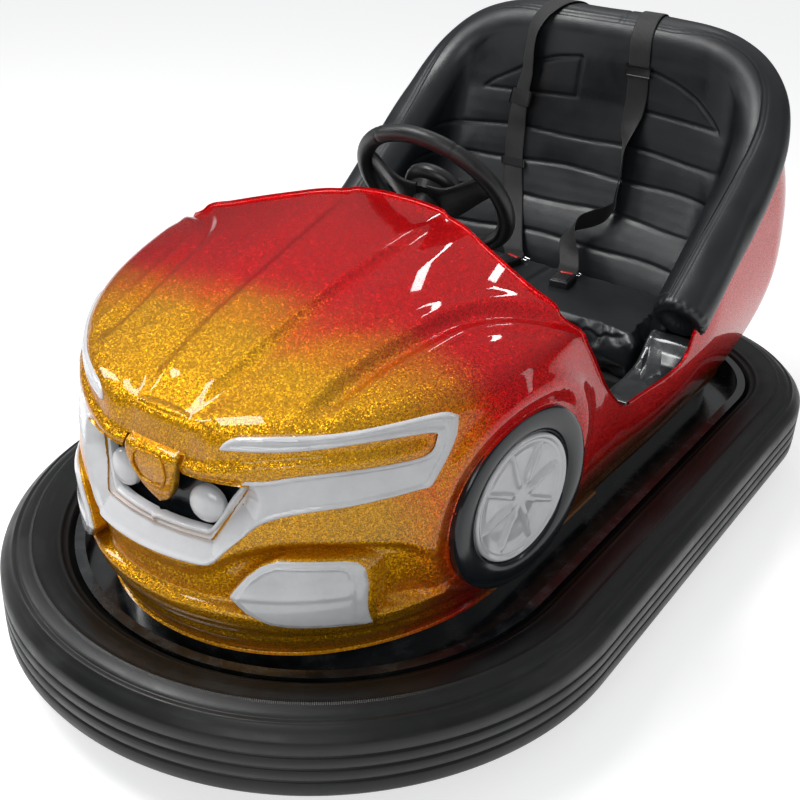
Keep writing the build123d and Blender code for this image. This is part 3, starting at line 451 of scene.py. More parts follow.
def line_offset(x, y, line):
    """Signed distance from a plan line, outwards positive, and the share of its length passed."""
    best, side, share = np.full(x.shape, 9.0), np.zeros(x.shape), np.zeros(x.shape)
    lengths = np.linalg.norm(np.diff(line, axis=0), axis=1)
    passed = np.concatenate([[0], np.cumsum(lengths)]) / lengths.sum()
    for i in range(len(line) - 1):
        (ax, ay), (bx, by) = line[i], line[i + 1]
        dx, dy = bx - ax, by - ay
        t = np.clip(((x - ax) * dx + (y - ay) * dy) / (dx * dx + dy * dy), 0, 1)
        gap = np.hypot(x - ax - t * dx, y - ay - t * dy)
        near = gap < best
        best = np.where(near, gap, best)
        side = np.where(near, np.sign((x - ax) * dy - (y - ay) * dx), side)
        share = np.where(near, passed[i] + t * (passed[i + 1] - passed[i]), share)
    return best * side, share


def outline_gap(x, z, outline):
    """Distance to a closed polygon of the front view, negative inside it."""
    outline = np.asarray(outline, float)
    best, inside = np.full(x.shape, 9.0), np.zeros(x.shape, bool)
    for (ax, az), (bx, bz) in zip(outline, np.roll(outline, -1, axis=0)):
        dx, dz = bx - ax, bz - az
        t = np.clip(((x - ax) * dx + (z - az) * dz) / (dx * dx + dz * dz), 0, 1)
        best = np.minimum(best, np.hypot(x - ax - t * dx, z - az - t * dz))
        crosses = (az > z) != (bz > z)
        inside ^= crosses & (x < ax + (z - az) * dx / np.where(dz == 0, 1e-9, dz))
    return np.where(inside, -best, best)


def plan_gap(x, y, rows):
    """Distance out of a rounded plan outline whose size differs from point to point."""
    half, reach, side_r, end_r = rows.T
    blunt = np.where(end_r > side_r, 1, -1)
    along = np.sqrt(np.maximum((end_r - side_r) ** 2 - (half - side_r) ** 2, 0))
    end_y = reach - end_r
    side_y = end_y + blunt * along
    join = np.arctan2(along, blunt * (half - side_r))
    on_side = np.hypot(x - (half - side_r), y - side_y) - side_r
    on_end = np.hypot(x, y - end_y) - end_r
    return np.where(y < side_y, x - half, np.where(np.arctan2(y - end_y, x) > join, on_end, on_side))


hood_lines = [(soft_line(line), np.array(profile), fade_in, fade_out)
              for line, profile, fade_in, fade_out in HOOD_FEATURES]
brow_line = soft_line(BROW)


def hood_height(x, y):
    """Height of the hood over the floor, with its creases and scoops."""
    x = np.abs(x)
    middle, fall = smooth_table(HOOD_LINE, y).T
    height = middle - fall * x * x
    for line, profile, fade_in, fade_out in hood_lines:
        gap, share = line_offset(x, y, line)
        strength = soft_step(fade_in[0], fade_in[1], share) * soft_step(
            0, fade_out[1], 1 + fade_out[0] - share)
        height = height + strength * np.interp(gap, profile[:, 0], profile[:, 1])
    return height - DIP_DEEP * soft_step(*DIP_ALONG, -y) * (1 - soft_step(*DIP_ACROSS, x))


def wheel_radius(x, y, z):
    """Distance from the left dummy wheel's axis, for points of either side."""
    to = np.stack([np.abs(x), y, z], axis=-1) - DUMMY_CENTRE
    return np.sqrt(np.maximum((to ** 2).sum(-1) - (to @ DUMMY_OUT) ** 2, 0))


def flank_relief(x, y, z, hollowed=True):
    """How far the flanks' and nose's moulded forms stand out of the plain outline."""
    x = np.abs(x)
    radius = wheel_radius(x, y, z)
    arch = np.interp(radius, *np.array(ARCH_PROFILE).T) * soft_step(0.235, 0.32, z)
    foot = np.interp(z, *np.array(FOOT_PROFILE).T)
    forward = soft_step(0.50, 0.60, -y) * hollowed
    top, shelf, deep = smooth_table(HOLLOW, x).T
    hollow = -deep * soft_step(top, top - 0.030, z) * soft_step(shelf - 0.008, shelf + 0.004, z)
    shelf_foot = soft_step(shelf - SHELF_HIGH - 0.008, shelf - SHELF_HIGH + 0.008, z)
    ledge = SHELF_PROUD * soft_step(shelf + 0.003, shelf - 0.010, z) * shelf_foot
    gap, share = line_offset(x, z, brow_line)
    brow = np.interp(gap, *np.array(BROW_PROFILE).T)
    brow = brow * soft_step(0.48, 0.56, -y) * soft_step(0.0, 0.08, share) * (1 - soft_step(0.92, 1, share))
    funnel = np.clip(FUNNEL_SLOPE * outline_gap(x, z, FUNNEL), -FUNNEL_DEEP, 0)
    funnel = funnel * soft_step(0.525, 0.500, z) * (y < -0.66)
    behind_tooth = (1 - soft_step(0.052, 0.105, x)) * soft_step(0.512, 0.535, z) * (y < -0.66)
    return foot + arch + (hollow + ledge) * forward + brow + funnel - TOOTH_SEAT * behind_tooth


def front_gap(points, hollowed=True):
    """Distance out of the front body, hood and flanks joined by a soft shoulder."""
    x, y, z = points.T
    rows = smooth_table(FRONT_OUTLINES, z)
    flank = plan_gap(np.abs(x), -y, rows) - flank_relief(x, y, z, hollowed)
    top = (z - hood_height(x, y)) * 0.96
    soft = smooth_table(SHOULDER_SOFT, y)[:, 0]
    soft = soft + (0.007 - soft) * soft_step(0.62, 0.74, -y) * (1 - soft_step(0.045, 0.085, np.abs(x)))
    blend = np.maximum(soft - np.abs(flank - top), 0) / soft
    return np.maximum(flank, top) + blend * blend * soft * 0.25


def reach_surface(starts, ways, gap, far=0.40, level=0.0):
    """Where rays from inside the body come out through its surface."""
    low, high = np.zeros(len(starts)), np.full(len(starts), far)
    for _ in range(24):
        middle = (low + high) / 2
        outside = gap(starts + ways * middle[:, None]) > level
        high, low = np.where(outside, middle, high), np.where(outside, low, middle)
    return starts + ways * high[:, None]


def front_rays(columns, rows):
    """Rays for the left half: out of the flank, round the shoulder, up through the hood."""
    core_half, core_nose, core_r, core_top, core_low = 0.27, 0.70, 0.235, 0.50, SKIN_LOW
    arc = core_r * pi / 2
    straight = core_nose - core_r
    run = np.linspace(0, arc + straight, columns)
    angle = np.where(run < arc, pi / 2 - run / core_r, 0)
    round_nose = (core_half - core_r) * (run / arc) + core_r * np.cos(angle)
    plan = np.stack([np.where(run < arc, round_nose, core_half),
                     np.where(run < arc, -(straight + core_r * np.sin(angle)), run - arc - straight)], axis=1)
    outward = np.stack([np.cos(angle), -np.sin(angle)], axis=1)
    spine = np.stack([np.zeros(columns), np.linspace(-0.60, -0.10, columns)], axis=1)
    up_flank, round_top = int(rows * 0.42), int(rows * 0.20)
    starts, ways = [], []
    for i in range(rows):
        if i < up_flank:
            height, turn, inward = core_low + (core_top - core_low) * i / up_flank, 0.0, 0.0
        elif i < up_flank + round_top:
            height, turn, inward = core_top, pi / 2 * (i - up_flank) / round_top, 0.0
        else:
            height, turn = core_top, pi / 2
            inward = (i - up_flank - round_top) / (rows - 1 - up_flank - round_top)
        place = plan + (spine - plan) * inward
        starts.append(np.column_stack([place, np.full(columns, height)]))
        ways.append(np.column_stack([outward * cos(turn), np.full(columns, sin(turn))]))
    return np.concatenate(starts), np.concatenate(ways)


def skin_mesh(points, rows, columns, flip=False):
    """A welded mesh of the left half's grid of points and its mirror image."""
    bm = bmesh.new()
    for mirror in (1, -1):
        verts = [bm.verts.new((p[0] * mirror, p[1], p[2])) for p in points]
        for a, b, c, d in grid_faces(rows, columns):
            order = (a, b, c, d) if (mirror > 0) != flip else (d, c, b, a)
            bm.faces.new([verts[k] for k in order])
    seam = [v for v in bm.verts if abs(v.co.x) < 1e-5]
    bmesh.ops.remove_doubles(bm, verts=seam, dist=2e-5)
    return bm


def split_along(bm, gap, near=2e-5, counts_as=0.0):
    """Adds the line gap = 0 to a sheet's edges and faces, points near it counted as on it."""
    values = gap(np.array([v.co for v in bm.verts]))
    values[np.abs(values) < near] = counts_as
    value = dict(zip(bm.verts, values))
    for edge in [e for e in bm.edges if value[e.verts[0]] * value[e.verts[1]] < 0]:
        a, b = edge.verts
        _, middle = bmesh.utils.edge_split(edge, a, value[a] / (value[a] - value[b]))
        value[middle] = 0.0
    for face in list(bm.faces):
        on_line = [v for v in face.verts if value[v] == 0.0]
        if len(on_line) == 2 and not any(on_line[1] in e.verts for e in on_line[0].link_edges):
            bmesh.utils.face_split(face, on_line[0], on_line[1])
    return value


def drop_faces(bm, gone):
    """Takes faces out of a sheet, and the points that no face uses any more."""
    bmesh.ops.delete(bm, geom=gone, context="FACES")
    bmesh.ops.delete(bm, geom=[v for v in bm.verts if not v.link_faces], context="VERTS")


def cut_away(bm, gap):
    """Cuts the sheet along gap = 0 and drops the side where gap is positive."""
    value = split_along(bm, gap, 1e-6, -1e-6)
    drop_faces(bm, [f for f in bm.faces if max(value[v] for v in f.verts) > 0])


def roll_edges(bm, keep):
    """Rolls the sheet's open edges inwards round a small radius, then down by the wall."""
    bm.normal_update()
    rim = [e for e in bm.edges if e.is_boundary and keep(e)]
    outward = {}
    for e in rim:
        face = e.link_faces[0]
        middle = (e.verts[0].co + e.verts[1].co) / 2
        along = (e.verts[1].co - e.verts[0].co).normalized()
        side = along.cross(face.normal).normalized()
        if side.dot(middle - face.calc_center_median()) < 0:
            side = -side
        for v in e.verts:
            outward.setdefault(v, Vector()).__iadd__(side)
    base = {v: (v.co.copy(), way.normalized(), v.normal.copy()) for v, way in outward.items()}
    levels = [(EDGE_ROLL * sin(a), EDGE_ROLL * (1 - cos(a))) for a in (radians(28), radians(58), radians(90))]
    levels.append((EDGE_ROLL, WALL))
    previous = {v: v for v in base}
    for out, down in levels:
        ring = {v: bm.verts.new(p + way * out - normal * down) for v, (p, way, normal) in base.items()}
        for e in rim:
            a, b = e.verts
            face = bm.faces.new((previous[a], previous[b], ring[b], ring[a]))
            face.smooth = True
        previous = ring
    bmesh.ops.recalc_face_normals(bm, faces=bm.faces)


def to_piece(bm, name):
    mesh = bpy.data.meshes.new(name)
    bm.to_mesh(mesh)
    bm.free()
    mesh.polygons.foreach_set("use_smooth", [True] * len(mesh.polygons))
    piece = bpy.data.objects.new(name, mesh)
    scene.collection.objects.link(piece)
    return piece


opening_line = soft_line(OPENING_LINE, 6)


def in_opening(points, inset=0.0):
    """Positive where the cockpit's opening takes the skin away."""
    gap, _ = line_offset(points[:, 1], points[:, 2], opening_line)
    return -gap + inset


def front_holes(points):
    """Positive in the cockpit, the wheel recesses and the grille, and behind the front half."""
    x, y, z = points.T
    wheel = DUMMY_R + WHEEL_GAP - wheel_radius(x, y, z)
    grille = np.where(y < -0.6, -outline_gap(np.abs(x), z, GRILLE), -1)
    return np.maximum.reduce([in_opening(points, EDGE_ROLL), wheel, grille, y])


def off_split(edge):
    """Whether an open edge lies away from the line where the front and rear skins meet."""
    return abs(edge.verts[0].co.y) + abs(edge.verts[1].co.y) > 1e-4


# Flake paint: crushed gold flake at the nose, misted over into candy red behind, with painted shade low on
# the rear flanks.
flake_paint, shader = new_material("flake_paint_gold_to_red")
coordinates = add_node(flake_paint, "ShaderNodeTexCoord")
place = add_node(flake_paint, "ShaderNodeSeparateXYZ", [("Vector", coordinates.outputs["Object"])])
mist = noise(flake_paint, 7.0, 3.0)
flakes = add_node(flake_paint, "ShaderNodeTexVoronoi", [
    ("Vector", coordinates.outputs["Object"]), ("Scale", 620.0)], feature="F1")
flake_parts = add_node(flake_paint, "ShaderNodeSeparateColor", [("Color", flakes.outputs["Color"])])
mist_shift = sums(flake_paint, "MULTIPLY", sums(flake_paint, "SUBTRACT", mist, 0.5), 0.16)
flake_shift = sums(flake_paint, "SUBTRACT", flake_parts.outputs["Red"], 0.5)
flake_shift = sums(flake_paint, "MULTIPLY", flake_shift, 0.07)
backwards = sums(flake_paint, "ADD", place.outputs["Y"], mist_shift, flake_shift)
upwards = sums(flake_paint, "ADD", place.outputs["Z"], mist_shift)
above_low_band = between(flake_paint, upwards, 0.20, 0.34, curve="SMOOTHSTEP")
redness = between(flake_paint, backwards, -0.66, -0.47, curve="SMOOTHSTEP")
colour_ramp = add_node(flake_paint, "ShaderNodeValToRGB", [("Fac", redness)])
stops = colour_ramp.color_ramp.elements
stops[0].color, stops[1].color = (0.56, 0.265, 0.003, 1), (0.58, 0.005, 0.008, 1)
stops.new(0.5).color = (0.58, 0.13, 0.005, 1)
# Low on the flanks behind the nose, the colour is mixed to a dark brown. Partly this is the paint's own gold
# band, and partly it is painted shade for the floor's shadow and dark reflection there.
low_band_gold_and_painted_shade = sums(flake_paint, "MULTIPLY", between(flake_paint, backwards, -0.52, -0.36, curve="SMOOTHSTEP"),
                sums(flake_paint, "SUBTRACT", 1.0, above_low_band))
body_colour = add_node(flake_paint, "ShaderNodeMix", [
    (0, low_band_gold_and_painted_shade), (6, colour_ramp.outputs["Color"]), (7, (0.20, 0.075, 0.006, 1))], data_type="RGBA")
glint = between(flake_paint, flake_parts.outputs["Green"], 0.0, 1.0, 0.55, 1.45, "SMOOTHSTEP")
sparkle_colour = add_node(flake_paint, "ShaderNodeMix", [
    (0, 1.0), (6, body_colour.outputs[2]), (7, glint)], data_type="RGBA", blend_type="MULTIPLY")
link(flake_paint, sparkle_colour.outputs[2], shader.inputs["Base Color"])
surface = add_node(flake_paint, "ShaderNodeNewGeometry")
lean = add_node(flake_paint, "ShaderNodeVectorMath", [(0, flakes.outputs["Color"]), (1, (0.5, 0.5, 0.5))],
                operation="SUBTRACT")
lean = add_node(flake_paint, "ShaderNodeVectorMath", [(0, lean.outputs["Vector"]), ("Scale", 0.75)],
                operation="SCALE")
lean = add_node(flake_paint, "ShaderNodeVectorMath", [
    (0, surface.outputs["Normal"]), (1, lean.outputs["Vector"])], operation="ADD")
lean = add_node(flake_paint, "ShaderNodeVectorMath", [(0, lean.outputs["Vector"])], operation="NORMALIZE")
link(flake_paint, lean.outputs["Vector"], shader.inputs["Normal"])
shader.inputs["Metallic"].default_value = 0.70
shader.inputs["Specular IOR Level"].default_value = 0.15
shader.inputs["Roughness"].default_value = 0.34
shader.inputs["Specular Tint"].default_value = (0.75, 0.30, 0.22, 1)
shader.inputs["Coat Weight"].default_value = 0.75
shader.inputs["Coat Roughness"].default_value = 0.025
shader.inputs["Coat IOR"].default_value = 1.42


COLUMNS, ROWS = 190, 170
starts, ways = front_rays(COLUMNS, ROWS)
skin = skin_mesh(reach_surface(starts, ways, front_gap), ROWS, COLUMNS, flip=True)
cut_away(skin, front_holes)
roll_edges(skin, off_split)
front_skin = to_piece(skin, "front_cowl_skin")
front_skin.data.materials.append(flake_paint)
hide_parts("front_cowl")
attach(front_skin, "root")

def two_tone(name, dark, light, scale, gloss, bump, metallic=0.0):
    """A worn finish: two shades and two roughnesses from one noise, over a fine grain."""
    material, shader = new_material(name)
    wear = noise(material, scale, 7.0, 0.65)
    link(material, two_shades(material, wear, 0.35, 0.72, dark, light), shader.inputs["Base Color"])
    link(material, between(material, wear, 0.3, 0.7, *gloss), shader.inputs["Roughness"])
    grain_scale, strength, distance = bump
    coordinates = add_node(material, "ShaderNodeTexCoord")
    grain = add_node(material, "ShaderNodeTexVoronoi", [
        ("Vector", coordinates.outputs["Object"]), ("Scale", grain_scale)], feature="F1")
    link(material, relief(material, grain.outputs["Distance"], strength, distance), shader.inputs["Normal"])
    shader.inputs["Metallic"].default_value = metallic
    return material


black_plastic = two_tone("black_satin_plastic", (0.008, 0.008, 0.009), (0.016, 0.016, 0.018), 24.0,
                         (0.30, 0.42), (700.0, 0.15, 0.0004))
starts, ways = front_rays(COLUMNS // 3, ROWS // 3)
lining = skin_mesh(reach_surface(starts, ways, front_gap, level=-WALL - LINING_GAP), ROWS // 3, COLUMNS // 3)
cut_away(lining, front_holes)
front_lining = to_piece(lining, "front_cowl_lining")
front_lining.data.materials.append(black_plastic)
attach(front_lining, "root")


# Rear half of the same moulding: flanks that widen behind the door notch and
# the round tail, up to the padded roll that covers their edge.
REAR_OUTLINES = (  # height, half width, tail reach, side arc, tail arc
    (0.195, 0.362, 0.800, 0.220, 0.620), (0.300, 0.405, 0.868, 0.245, 0.620),
    (0.450, 0.448, 0.905, 0.275, 0.620), (0.620, 0.456, 0.880, 0.280, 0.620),
    (0.940, 0.440, 0.662, 0.260, 0.560))
WIDENS_BY = 0.30


def rear_rows(rows, end_steps, side_steps, inset=0.0, top=0.95):
    """Grid of the whole rear skin, from the left side of the split round the tail to the right."""
    points = []
    for z in np.linspace(SKIN_LOW, top, rows):
        half, reach, side_r, end_r = smooth_table(REAR_OUTLINES, np.array([z]))[0]
        split_half = smooth_table(FRONT_OUTLINES, np.array([min(z, FRONT_TOP)]))[0][0]
        foot = np.interp(z, *np.array(FOOT_PROFILE).T)
        end, ways = rounded_end(half, reach, side_r, end_r, 1, end_steps)
        along = np.linspace(0, end[0][1], side_steps, endpoint=False)
        side = np.column_stack([np.full(side_steps, half), along])
        outline = np.concatenate([side, end, side[::-1] * (-1, 1)])
        outward = np.concatenate([np.tile([1.0, 0.0], (side_steps, 1)), ways,
                                  np.tile([-1.0, 0.0], (side_steps, 1))])
        outline = outline + outward * (foot - inset)
        share = soft_step(0, WIDENS_BY, outline[:, 1])
        outline[:, 0] -= np.sign(outline[:, 0]) * (1 - share) * (half - split_half)
        points.append(np.column_stack([outline, np.full(len(outline), z)]))
    return np.array(points)


def grid_bmesh(points, flip=False):
    rows, columns = points.shape[:2]
    bm = bmesh.new()
    verts = [bm.verts.new(p) for p in points.reshape(-1, 3)]
    for a, b, c, d in grid_faces(rows, columns):
        bm.faces.new([verts[k] for k in ((d, c, b, a) if flip else (a, b, c, d))])
    return bm


def rear_holes(points):
    return in_opening(points, EDGE_ROLL)


rear = grid_bmesh(rear_rows(150, 90, 100))
cut_away(rear, rear_holes)
roll_edges(rear, off_split)
rear_skin = to_piece(rear, "rear_shell_skin")
rear_skin.data.materials.append(flake_paint)
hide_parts("rear_shell")
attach(rear_skin, "root")

rear = grid_bmesh(rear_rows(50, 30, 30, WALL), flip=True)
cut_away(rear, rear_holes)
rear_lining = to_piece(rear, "rear_shell_lining")
rear_lining.data.materials.append(black_plastic)
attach(rear_lining, "root")


# Nose of the car: the hood's panel drops over the grille as a painted tooth with
# a raised plate, its sides turned back into the opening.
TOOTH = (  # place along Y, height, half width down the middle of the tooth
    (-0.772, 0.5915, 0.0500), (-0.784, 0.5905, 0.0505), (-0.7895, 0.5870, 0.0515),
    (-0.7935, 0.5730, 0.0535), (-0.7955, 0.5560, 0.0545), (-0.7970, 0.5470, 0.0550),
    (-0.7985, 0.5425, 0.0550), (-0.8015, 0.5402, 0.0545), (-0.8110, 0.5370, 0.0530),
    (-0.8180, 0.5328, 0.0520), (-0.8218, 0.5260, 0.0515), (-0.8230, 0.5150, 0.0500),
    (-0.8220, 0.5020, 0.0465), (-0.8190, 0.4870, 0.0425), (-0.8145, 0.4700, 0.0360),
    (-0.8100, 0.4550, 0.0275), (-0.8060, 0.4435, 0.0180), (-0.8035, 0.4375, 0.0080))
TOOTH_WALL, TOOTH_ROUND, TOOTH_CROWN = 0.016, 0.0065, 0.0016
PLATE = ((-0.0226, 0.5286), (0.0226, 0.5286), (0.0300, 0.5190), (0.0325, 0.4990), (0.0220, 0.4780),
         (0.0, 0.4740), (-0.0220, 0.4780), (-0.0325, 0.4990), (-0.0300, 0.5190))
PLATE_BEAD = 0.0028


def join_rings(bm, rings):
    """Faces between each ring of points and the next; a point met twice is taken once."""
    for low, high in zip(rings, rings[1:]):
        for k in range(len(low)):
            n = (k + 1) % len(low)
            bm.faces.new(list(dict.fromkeys((low[k], low[n], high[n], high[k]))))


def closed_tube(bm, path, radii, sides, lean, flat=1.0):
    """Adds a round tube along a closed path; flat squeezes it along the lean direction."""
    path = np.asarray(path, float)
    radii = np.broadcast_to(np.asarray(radii, float), (len(path),))
    ahead = np.roll(path, -1, axis=0) - np.roll(path, 1, axis=0)
    ahead /= np.linalg.norm(ahead, axis=1)[:, None]
    angles = np.arange(sides) * 2 * pi / sides
    side = np.array(lean, float)
    rings = []
    for point, radius, way in zip(path, radii, ahead):
        side = side - way * (side @ way)
        side = side / np.linalg.norm(side)
        other = np.cross(way, side)
        ring = point + radius * (np.cos(angles)[:, None] * side * flat + np.sin(angles)[:, None] * other)
        rings.append([bm.verts.new(p) for p in ring])
    join_rings(bm, rings + rings[:1])


tooth_line = soft_line(TOOTH, 3)
tooth_way = np.gradient(tooth_line[:, :2], axis=0)
tooth_way /= np.linalg.norm(tooth_way, axis=1)[:, None]
tooth_out = np.column_stack([tooth_way[:, 1], -tooth_way[:, 0]])
rows = []
for (y, z, half), (out_y, out_z) in zip(tooth_line, tooth_out):
    bend = min(TOOTH_ROUND, half * 0.6)
    section = [(half, -TOOTH_WALL), (half, -bend)]
    inner = half - bend
    section += [(inner + bend * cos(a), -bend + bend * sin(a)) for a in (radians(30), radians(60), pi / 2)]
    section += [(inner * k / 6, TOOTH_CROWN * (1 - (k / 6) ** 2)) for k in (5, 4, 3, 2, 1, 0)]
    section += [(-across, off) for across, off in section[-2::-1]]
    rows.append([(across, y + out_y * off, z + out_z * off) for across, off in section])
tooth = grid_bmesh(np.array(rows), flip=True)
plate_path = []
for (x, z), (next_x, next_z) in zip(PLATE, PLATE[1:] + PLATE[:1]):
    for share in np.linspace(0, 1, 5, endpoint=False):
        at_x, at_z = x + (next_x - x) * share, z + (next_z - z) * share
        at_y = np.interp(at_z, tooth_line[::-1, 1], tooth_line[::-1, 0])
        plate_path.append((at_x, at_y - TOOTH_CROWN - 0.0004, at_z))
closed_tube(tooth, plate_path, PLATE_BEAD, 8, lean=(0, 1, 0))
bmesh.ops.recalc_face_normals(tooth, faces=tooth.faces)
tooth = to_piece(tooth, "front_cowl_tooth")
tooth.data.materials.append(flake_paint)
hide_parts("front_cowl")
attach(tooth, "root")


# Headlamp trim: white gel coat laid into the moulding as a bar along the brow, a
# wing below it and a V under the grille, all one band with a raised edge.
TRIM_TOP = ((0.115, 0.5635), (0.1185, 0.571), (0.124, 0.578), (0.132, 0.583), (0.145, 0.587),
            (0.187, 0.592), (0.230, 0.595), (0.268, 0.599), (0.303, 0.605), (0.335, 0.610),
            (0.350, 0.6095), (0.361, 0.602))
TRIM_OUTSIDE = ((0.361, 0.602), (0.363, 0.570), (0.359, 0.535), (0.350, 0.496))
TRIM_BELOW = ((0.350, 0.496), (0.315, 0.491), (0.280, 0.485), (0.242, 0.480), (0.215, 0.474),
              (0.195, 0.466), (0.178, 0.455), (0.160, 0.434), (0.135, 0.404), (0.122, 0.386),
              (0.112, 0.3775), (0.095, 0.3750), (0.0, 0.3740), (-0.03, 0.3740))
TRIM_GRILLE = ((-0.03, 0.4208), (0.080, 0.4212), (0.096, 0.4235), (0.1115, 0.449), (0.1235, 0.479),
               (0.1388, 0.5045), (0.1555, 0.5232))
TRIM_WING_TOP = ((0.1555, 0.5232), (0.185, 0.527), (0.215, 0.535), (0.256, 0.541), (0.293, 0.544),
                 (0.328, 0.547), (0.341, 0.550), (0.3465, 0.559), (0.348, 0.580))
TRIM_BAR_LOW = ((0.348, 0.580), (0.342, 0.5835), (0.308, 0.583), (0.272, 0.5795), (0.233, 0.5735),
                (0.191, 0.569), (0.143, 0.566), (0.115, 0.5635))
TRIM_EDGE = ((-0.002, -0.001), (0.0, 0.0), (0.0010, 0.0022), (0.0030, 0.0034), (0.0055, 0.0034),
             (0.0075, 0.0017), (0.0100, 0.0010), (0.020, 0.0010))  # distance in from the edge, height
TRIM_STEP, TRIM_WALL = 0.0034, 0.014

white_gloss, shader = new_material("white_gel_coat")
grime = noise(white_gloss, 14.0, 6.0, 0.65)
link(white_gloss, two_shades(white_gloss, grime, 0.30, 0.72, (0.58, 0.58, 0.60), (0.68, 0.69, 0.70)),
     shader.inputs["Base Color"])
link(white_gloss, relief(white_gloss, grime, 0.05, 0.002), shader.inputs["Normal"])
shader.inputs["Roughness"].default_value = 0.16
shader.inputs["Coat Weight"].default_value = 0.6
shader.inputs["Coat Roughness"].default_value = 0.04


def skin_patch(name, low, high, outline, profile, wall, material, node, hollowed=True,
               rise=None, step=TRIM_STEP):
    """A raised patch that follows the front skin inside an outline of the front view."""
    outline = np.asarray(outline, float)
    columns, rows = int((high[0] - low[0]) / step) + 1, int((high[1] - low[1]) / step) + 1
    x, z = np.meshgrid(np.linspace(low[0], high[0], columns), np.linspace(low[1], high[1], rows))
    flat = np.stack([x, np.zeros_like(x), z], axis=-1)
    bm = grid_bmesh(flat)

    def depth_in(points):
        return -outline_gap(np.abs(points[:, 0]), points[:, 2], outline)

    value = split_along(bm, depth_in)
    drop_faces(bm, [f for f in bm.faces if min(value.get(v, 0) for v in f.verts) < 0])
    for distance, _ in profile[2:-1]:
        split_along(bm, lambda points: depth_in(points) - distance)
    points = np.array([v.co for v in bm.verts])
    level = np.interp(depth_in(points), *np.array(profile).T)
    if rise is not None:
        level = level + rise(points[:, 0], points[:, 2])
    starts = points * (1, 0, 1) + (0, -0.45, 0)
    ways = np.broadcast_to((0.0, -1.0, 0.0), starts.shape)
    lifted = reach_surface(starts, ways, lambda p: front_gap(p, hollowed) - level)
    for vert, place in zip(bm.verts, lifted):
        vert.co = place
    rim = [e for e in bm.edges if e.is_boundary and not (e.verts[0].co.x == 0 and e.verts[1].co.x == 0)]
    behind = {}
    for e in rim:
        for v in e.verts:
            if v not in behind:
                behind[v] = bm.verts.new(v.co + Vector((0, wall, 0)))
    for e in rim:
        a, b = e.verts
        bm.faces.new((a, b, behind[b], behind[a]))
    bmesh.ops.recalc_face_normals(bm, faces=bm.faces)
    piece = to_piece(bm, name)
    sharp_by_angle(piece, 50)
    piece.data.materials.append(material)
    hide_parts(node)
    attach(piece, "root")


def sharp_by_angle(piece, degrees_apart):
    """Keeps edges crisp where two faces meet at more than an angle."""
    bm = bmesh.new()
    bm.from_mesh(piece.data)
    for e in bm.edges:
        if len(e.link_faces) == 2 and e.calc_face_angle(0) > radians(degrees_apart):
            e.smooth = False
    bm.to_mesh(piece.data)
    bm.free()


TRIM_STRETCHES = (TRIM_TOP, TRIM_OUTSIDE, TRIM_BELOW, TRIM_GRILLE, TRIM_WING_TOP, TRIM_BAR_LOW)
trim_outline = np.concatenate([soft_line(stretch, 4)[:-1] for stretch in TRIM_STRETCHES])
skin_patch("headlamp_trim", (-0.372, 0.366), (0.372, 0.618), trim_outline, TRIM_EDGE, TRIM_WALL, white_gloss,
           "front_trim")


# Fog lamps: blank white lenses in the nose's hollow, each on a painted block
# moulded with the body, with one ridge along the lens.
FOG_LENS = ((0.1435, 0.330), (0.156, 0.3515), (0.169, 0.3715), (0.187, 0.3915), (0.2075, 0.4025),
            (0.254, 0.3990), (0.280, 0.3960), (0.2915, 0.3900), (0.298, 0.3770), (0.3005, 0.344),
            (0.3005, 0.264), (0.258, 0.269), (0.216, 0.274), (0.193, 0.2805), (0.165, 0.303))
FOG_EDGE = ((-0.002, 0.004), (0.0, 0.0045), (0.0012, 0.0062), (0.003, 0.0070), (0.0085, 0.0086),
            (0.0100, 0.0102), (0.013, 0.0108), (0.05, 0.0108))
BLOCK_EDGE = ((-0.002, 0.0), (0.0, 0.0), (0.0012, 0.0022), (0.0030, 0.0034), (0.0045, 0.0036),
              (0.05, 0.0036))
FOG_RIDGE, FOG_BLOCK_MARGIN, FOG_BLOCK_WALL = 0.336, 0.0032, 0.032


def fog_rise(x, z):
    """The lamp's face stands further out towards its foot, over the chin's shelf."""
    return 0.010 * soft_step(0.365, 0.285, z)


def lens_rise(x, z):
    """The lens with its ridge, and a face set back a little above it."""
    inside = soft_step(0.010, 0.014, -outline_gap(np.abs(x), z, np.array(FOG_LENS)))
    ridge = 0.0022 * np.maximum(0, 1 - np.abs(z - FOG_RIDGE) / 0.009)
    ridge -= 0.0016 * soft_step(0.345, 0.360, z)
    return fog_rise(x, z) + ridge * inside


def grown(outline, margin):
    """The outline moved outwards by a margin, corner by corner."""
    outline = np.asarray(outline, float)
    before, after = outline - np.roll(outline, 1, axis=0), np.roll(outline, -1, axis=0) - outline
    normals = [np.column_stack([-way[:, 1], way[:, 0]]) / np.linalg.norm(way, axis=1)[:, None]
               for way in (before, after)]
    middle = normals[0] + normals[1]
    middle /= np.maximum((middle * middle).sum(1), 0.8)[:, None] / 2
    turn = np.sign((before[:, 0] * after[:, 1] - before[:, 1] * after[:, 0]).sum())
    return outline - turn * middle * margin


for side, node in ((1, "fog_lamp_left"), (-1, "fog_lamp_right")):
    low_x, high_x = sorted((side * 0.132, side * 0.312))
    skin_patch(node + "_lens", (low_x, 0.255), (high_x, 0.412), FOG_LENS, FOG_EDGE, WALL, white_gloss, node,
               hollowed=False, rise=lens_rise, step=0.003)
    skin_patch(node + "_block", (low_x - 0.004, 0.250), (high_x + 0.004, 0.418),
               grown(FOG_LENS, FOG_BLOCK_MARGIN), BLOCK_EDGE, FOG_BLOCK_WALL, flake_paint, "front_cowl",
               hollowed=False, rise=fog_rise, step=0.004)


# Grille: a black gloss panel set back in the nose, with two domed white lamps
# pressed through it from behind.
PANEL_SET_BACK = -0.034
GRILLE_LAMP, LAMP_R, LAMP_HIGH = (0.084, -0.789, 0.458), 0.0310, 0.0160
PANEL_OUTLINE = ((-0.03, 0.392), (0.125, 0.392), (0.150, 0.440), (0.166, 0.500), (0.176, 0.534),
                 (0.140, 0.545), (-0.03, 0.560))

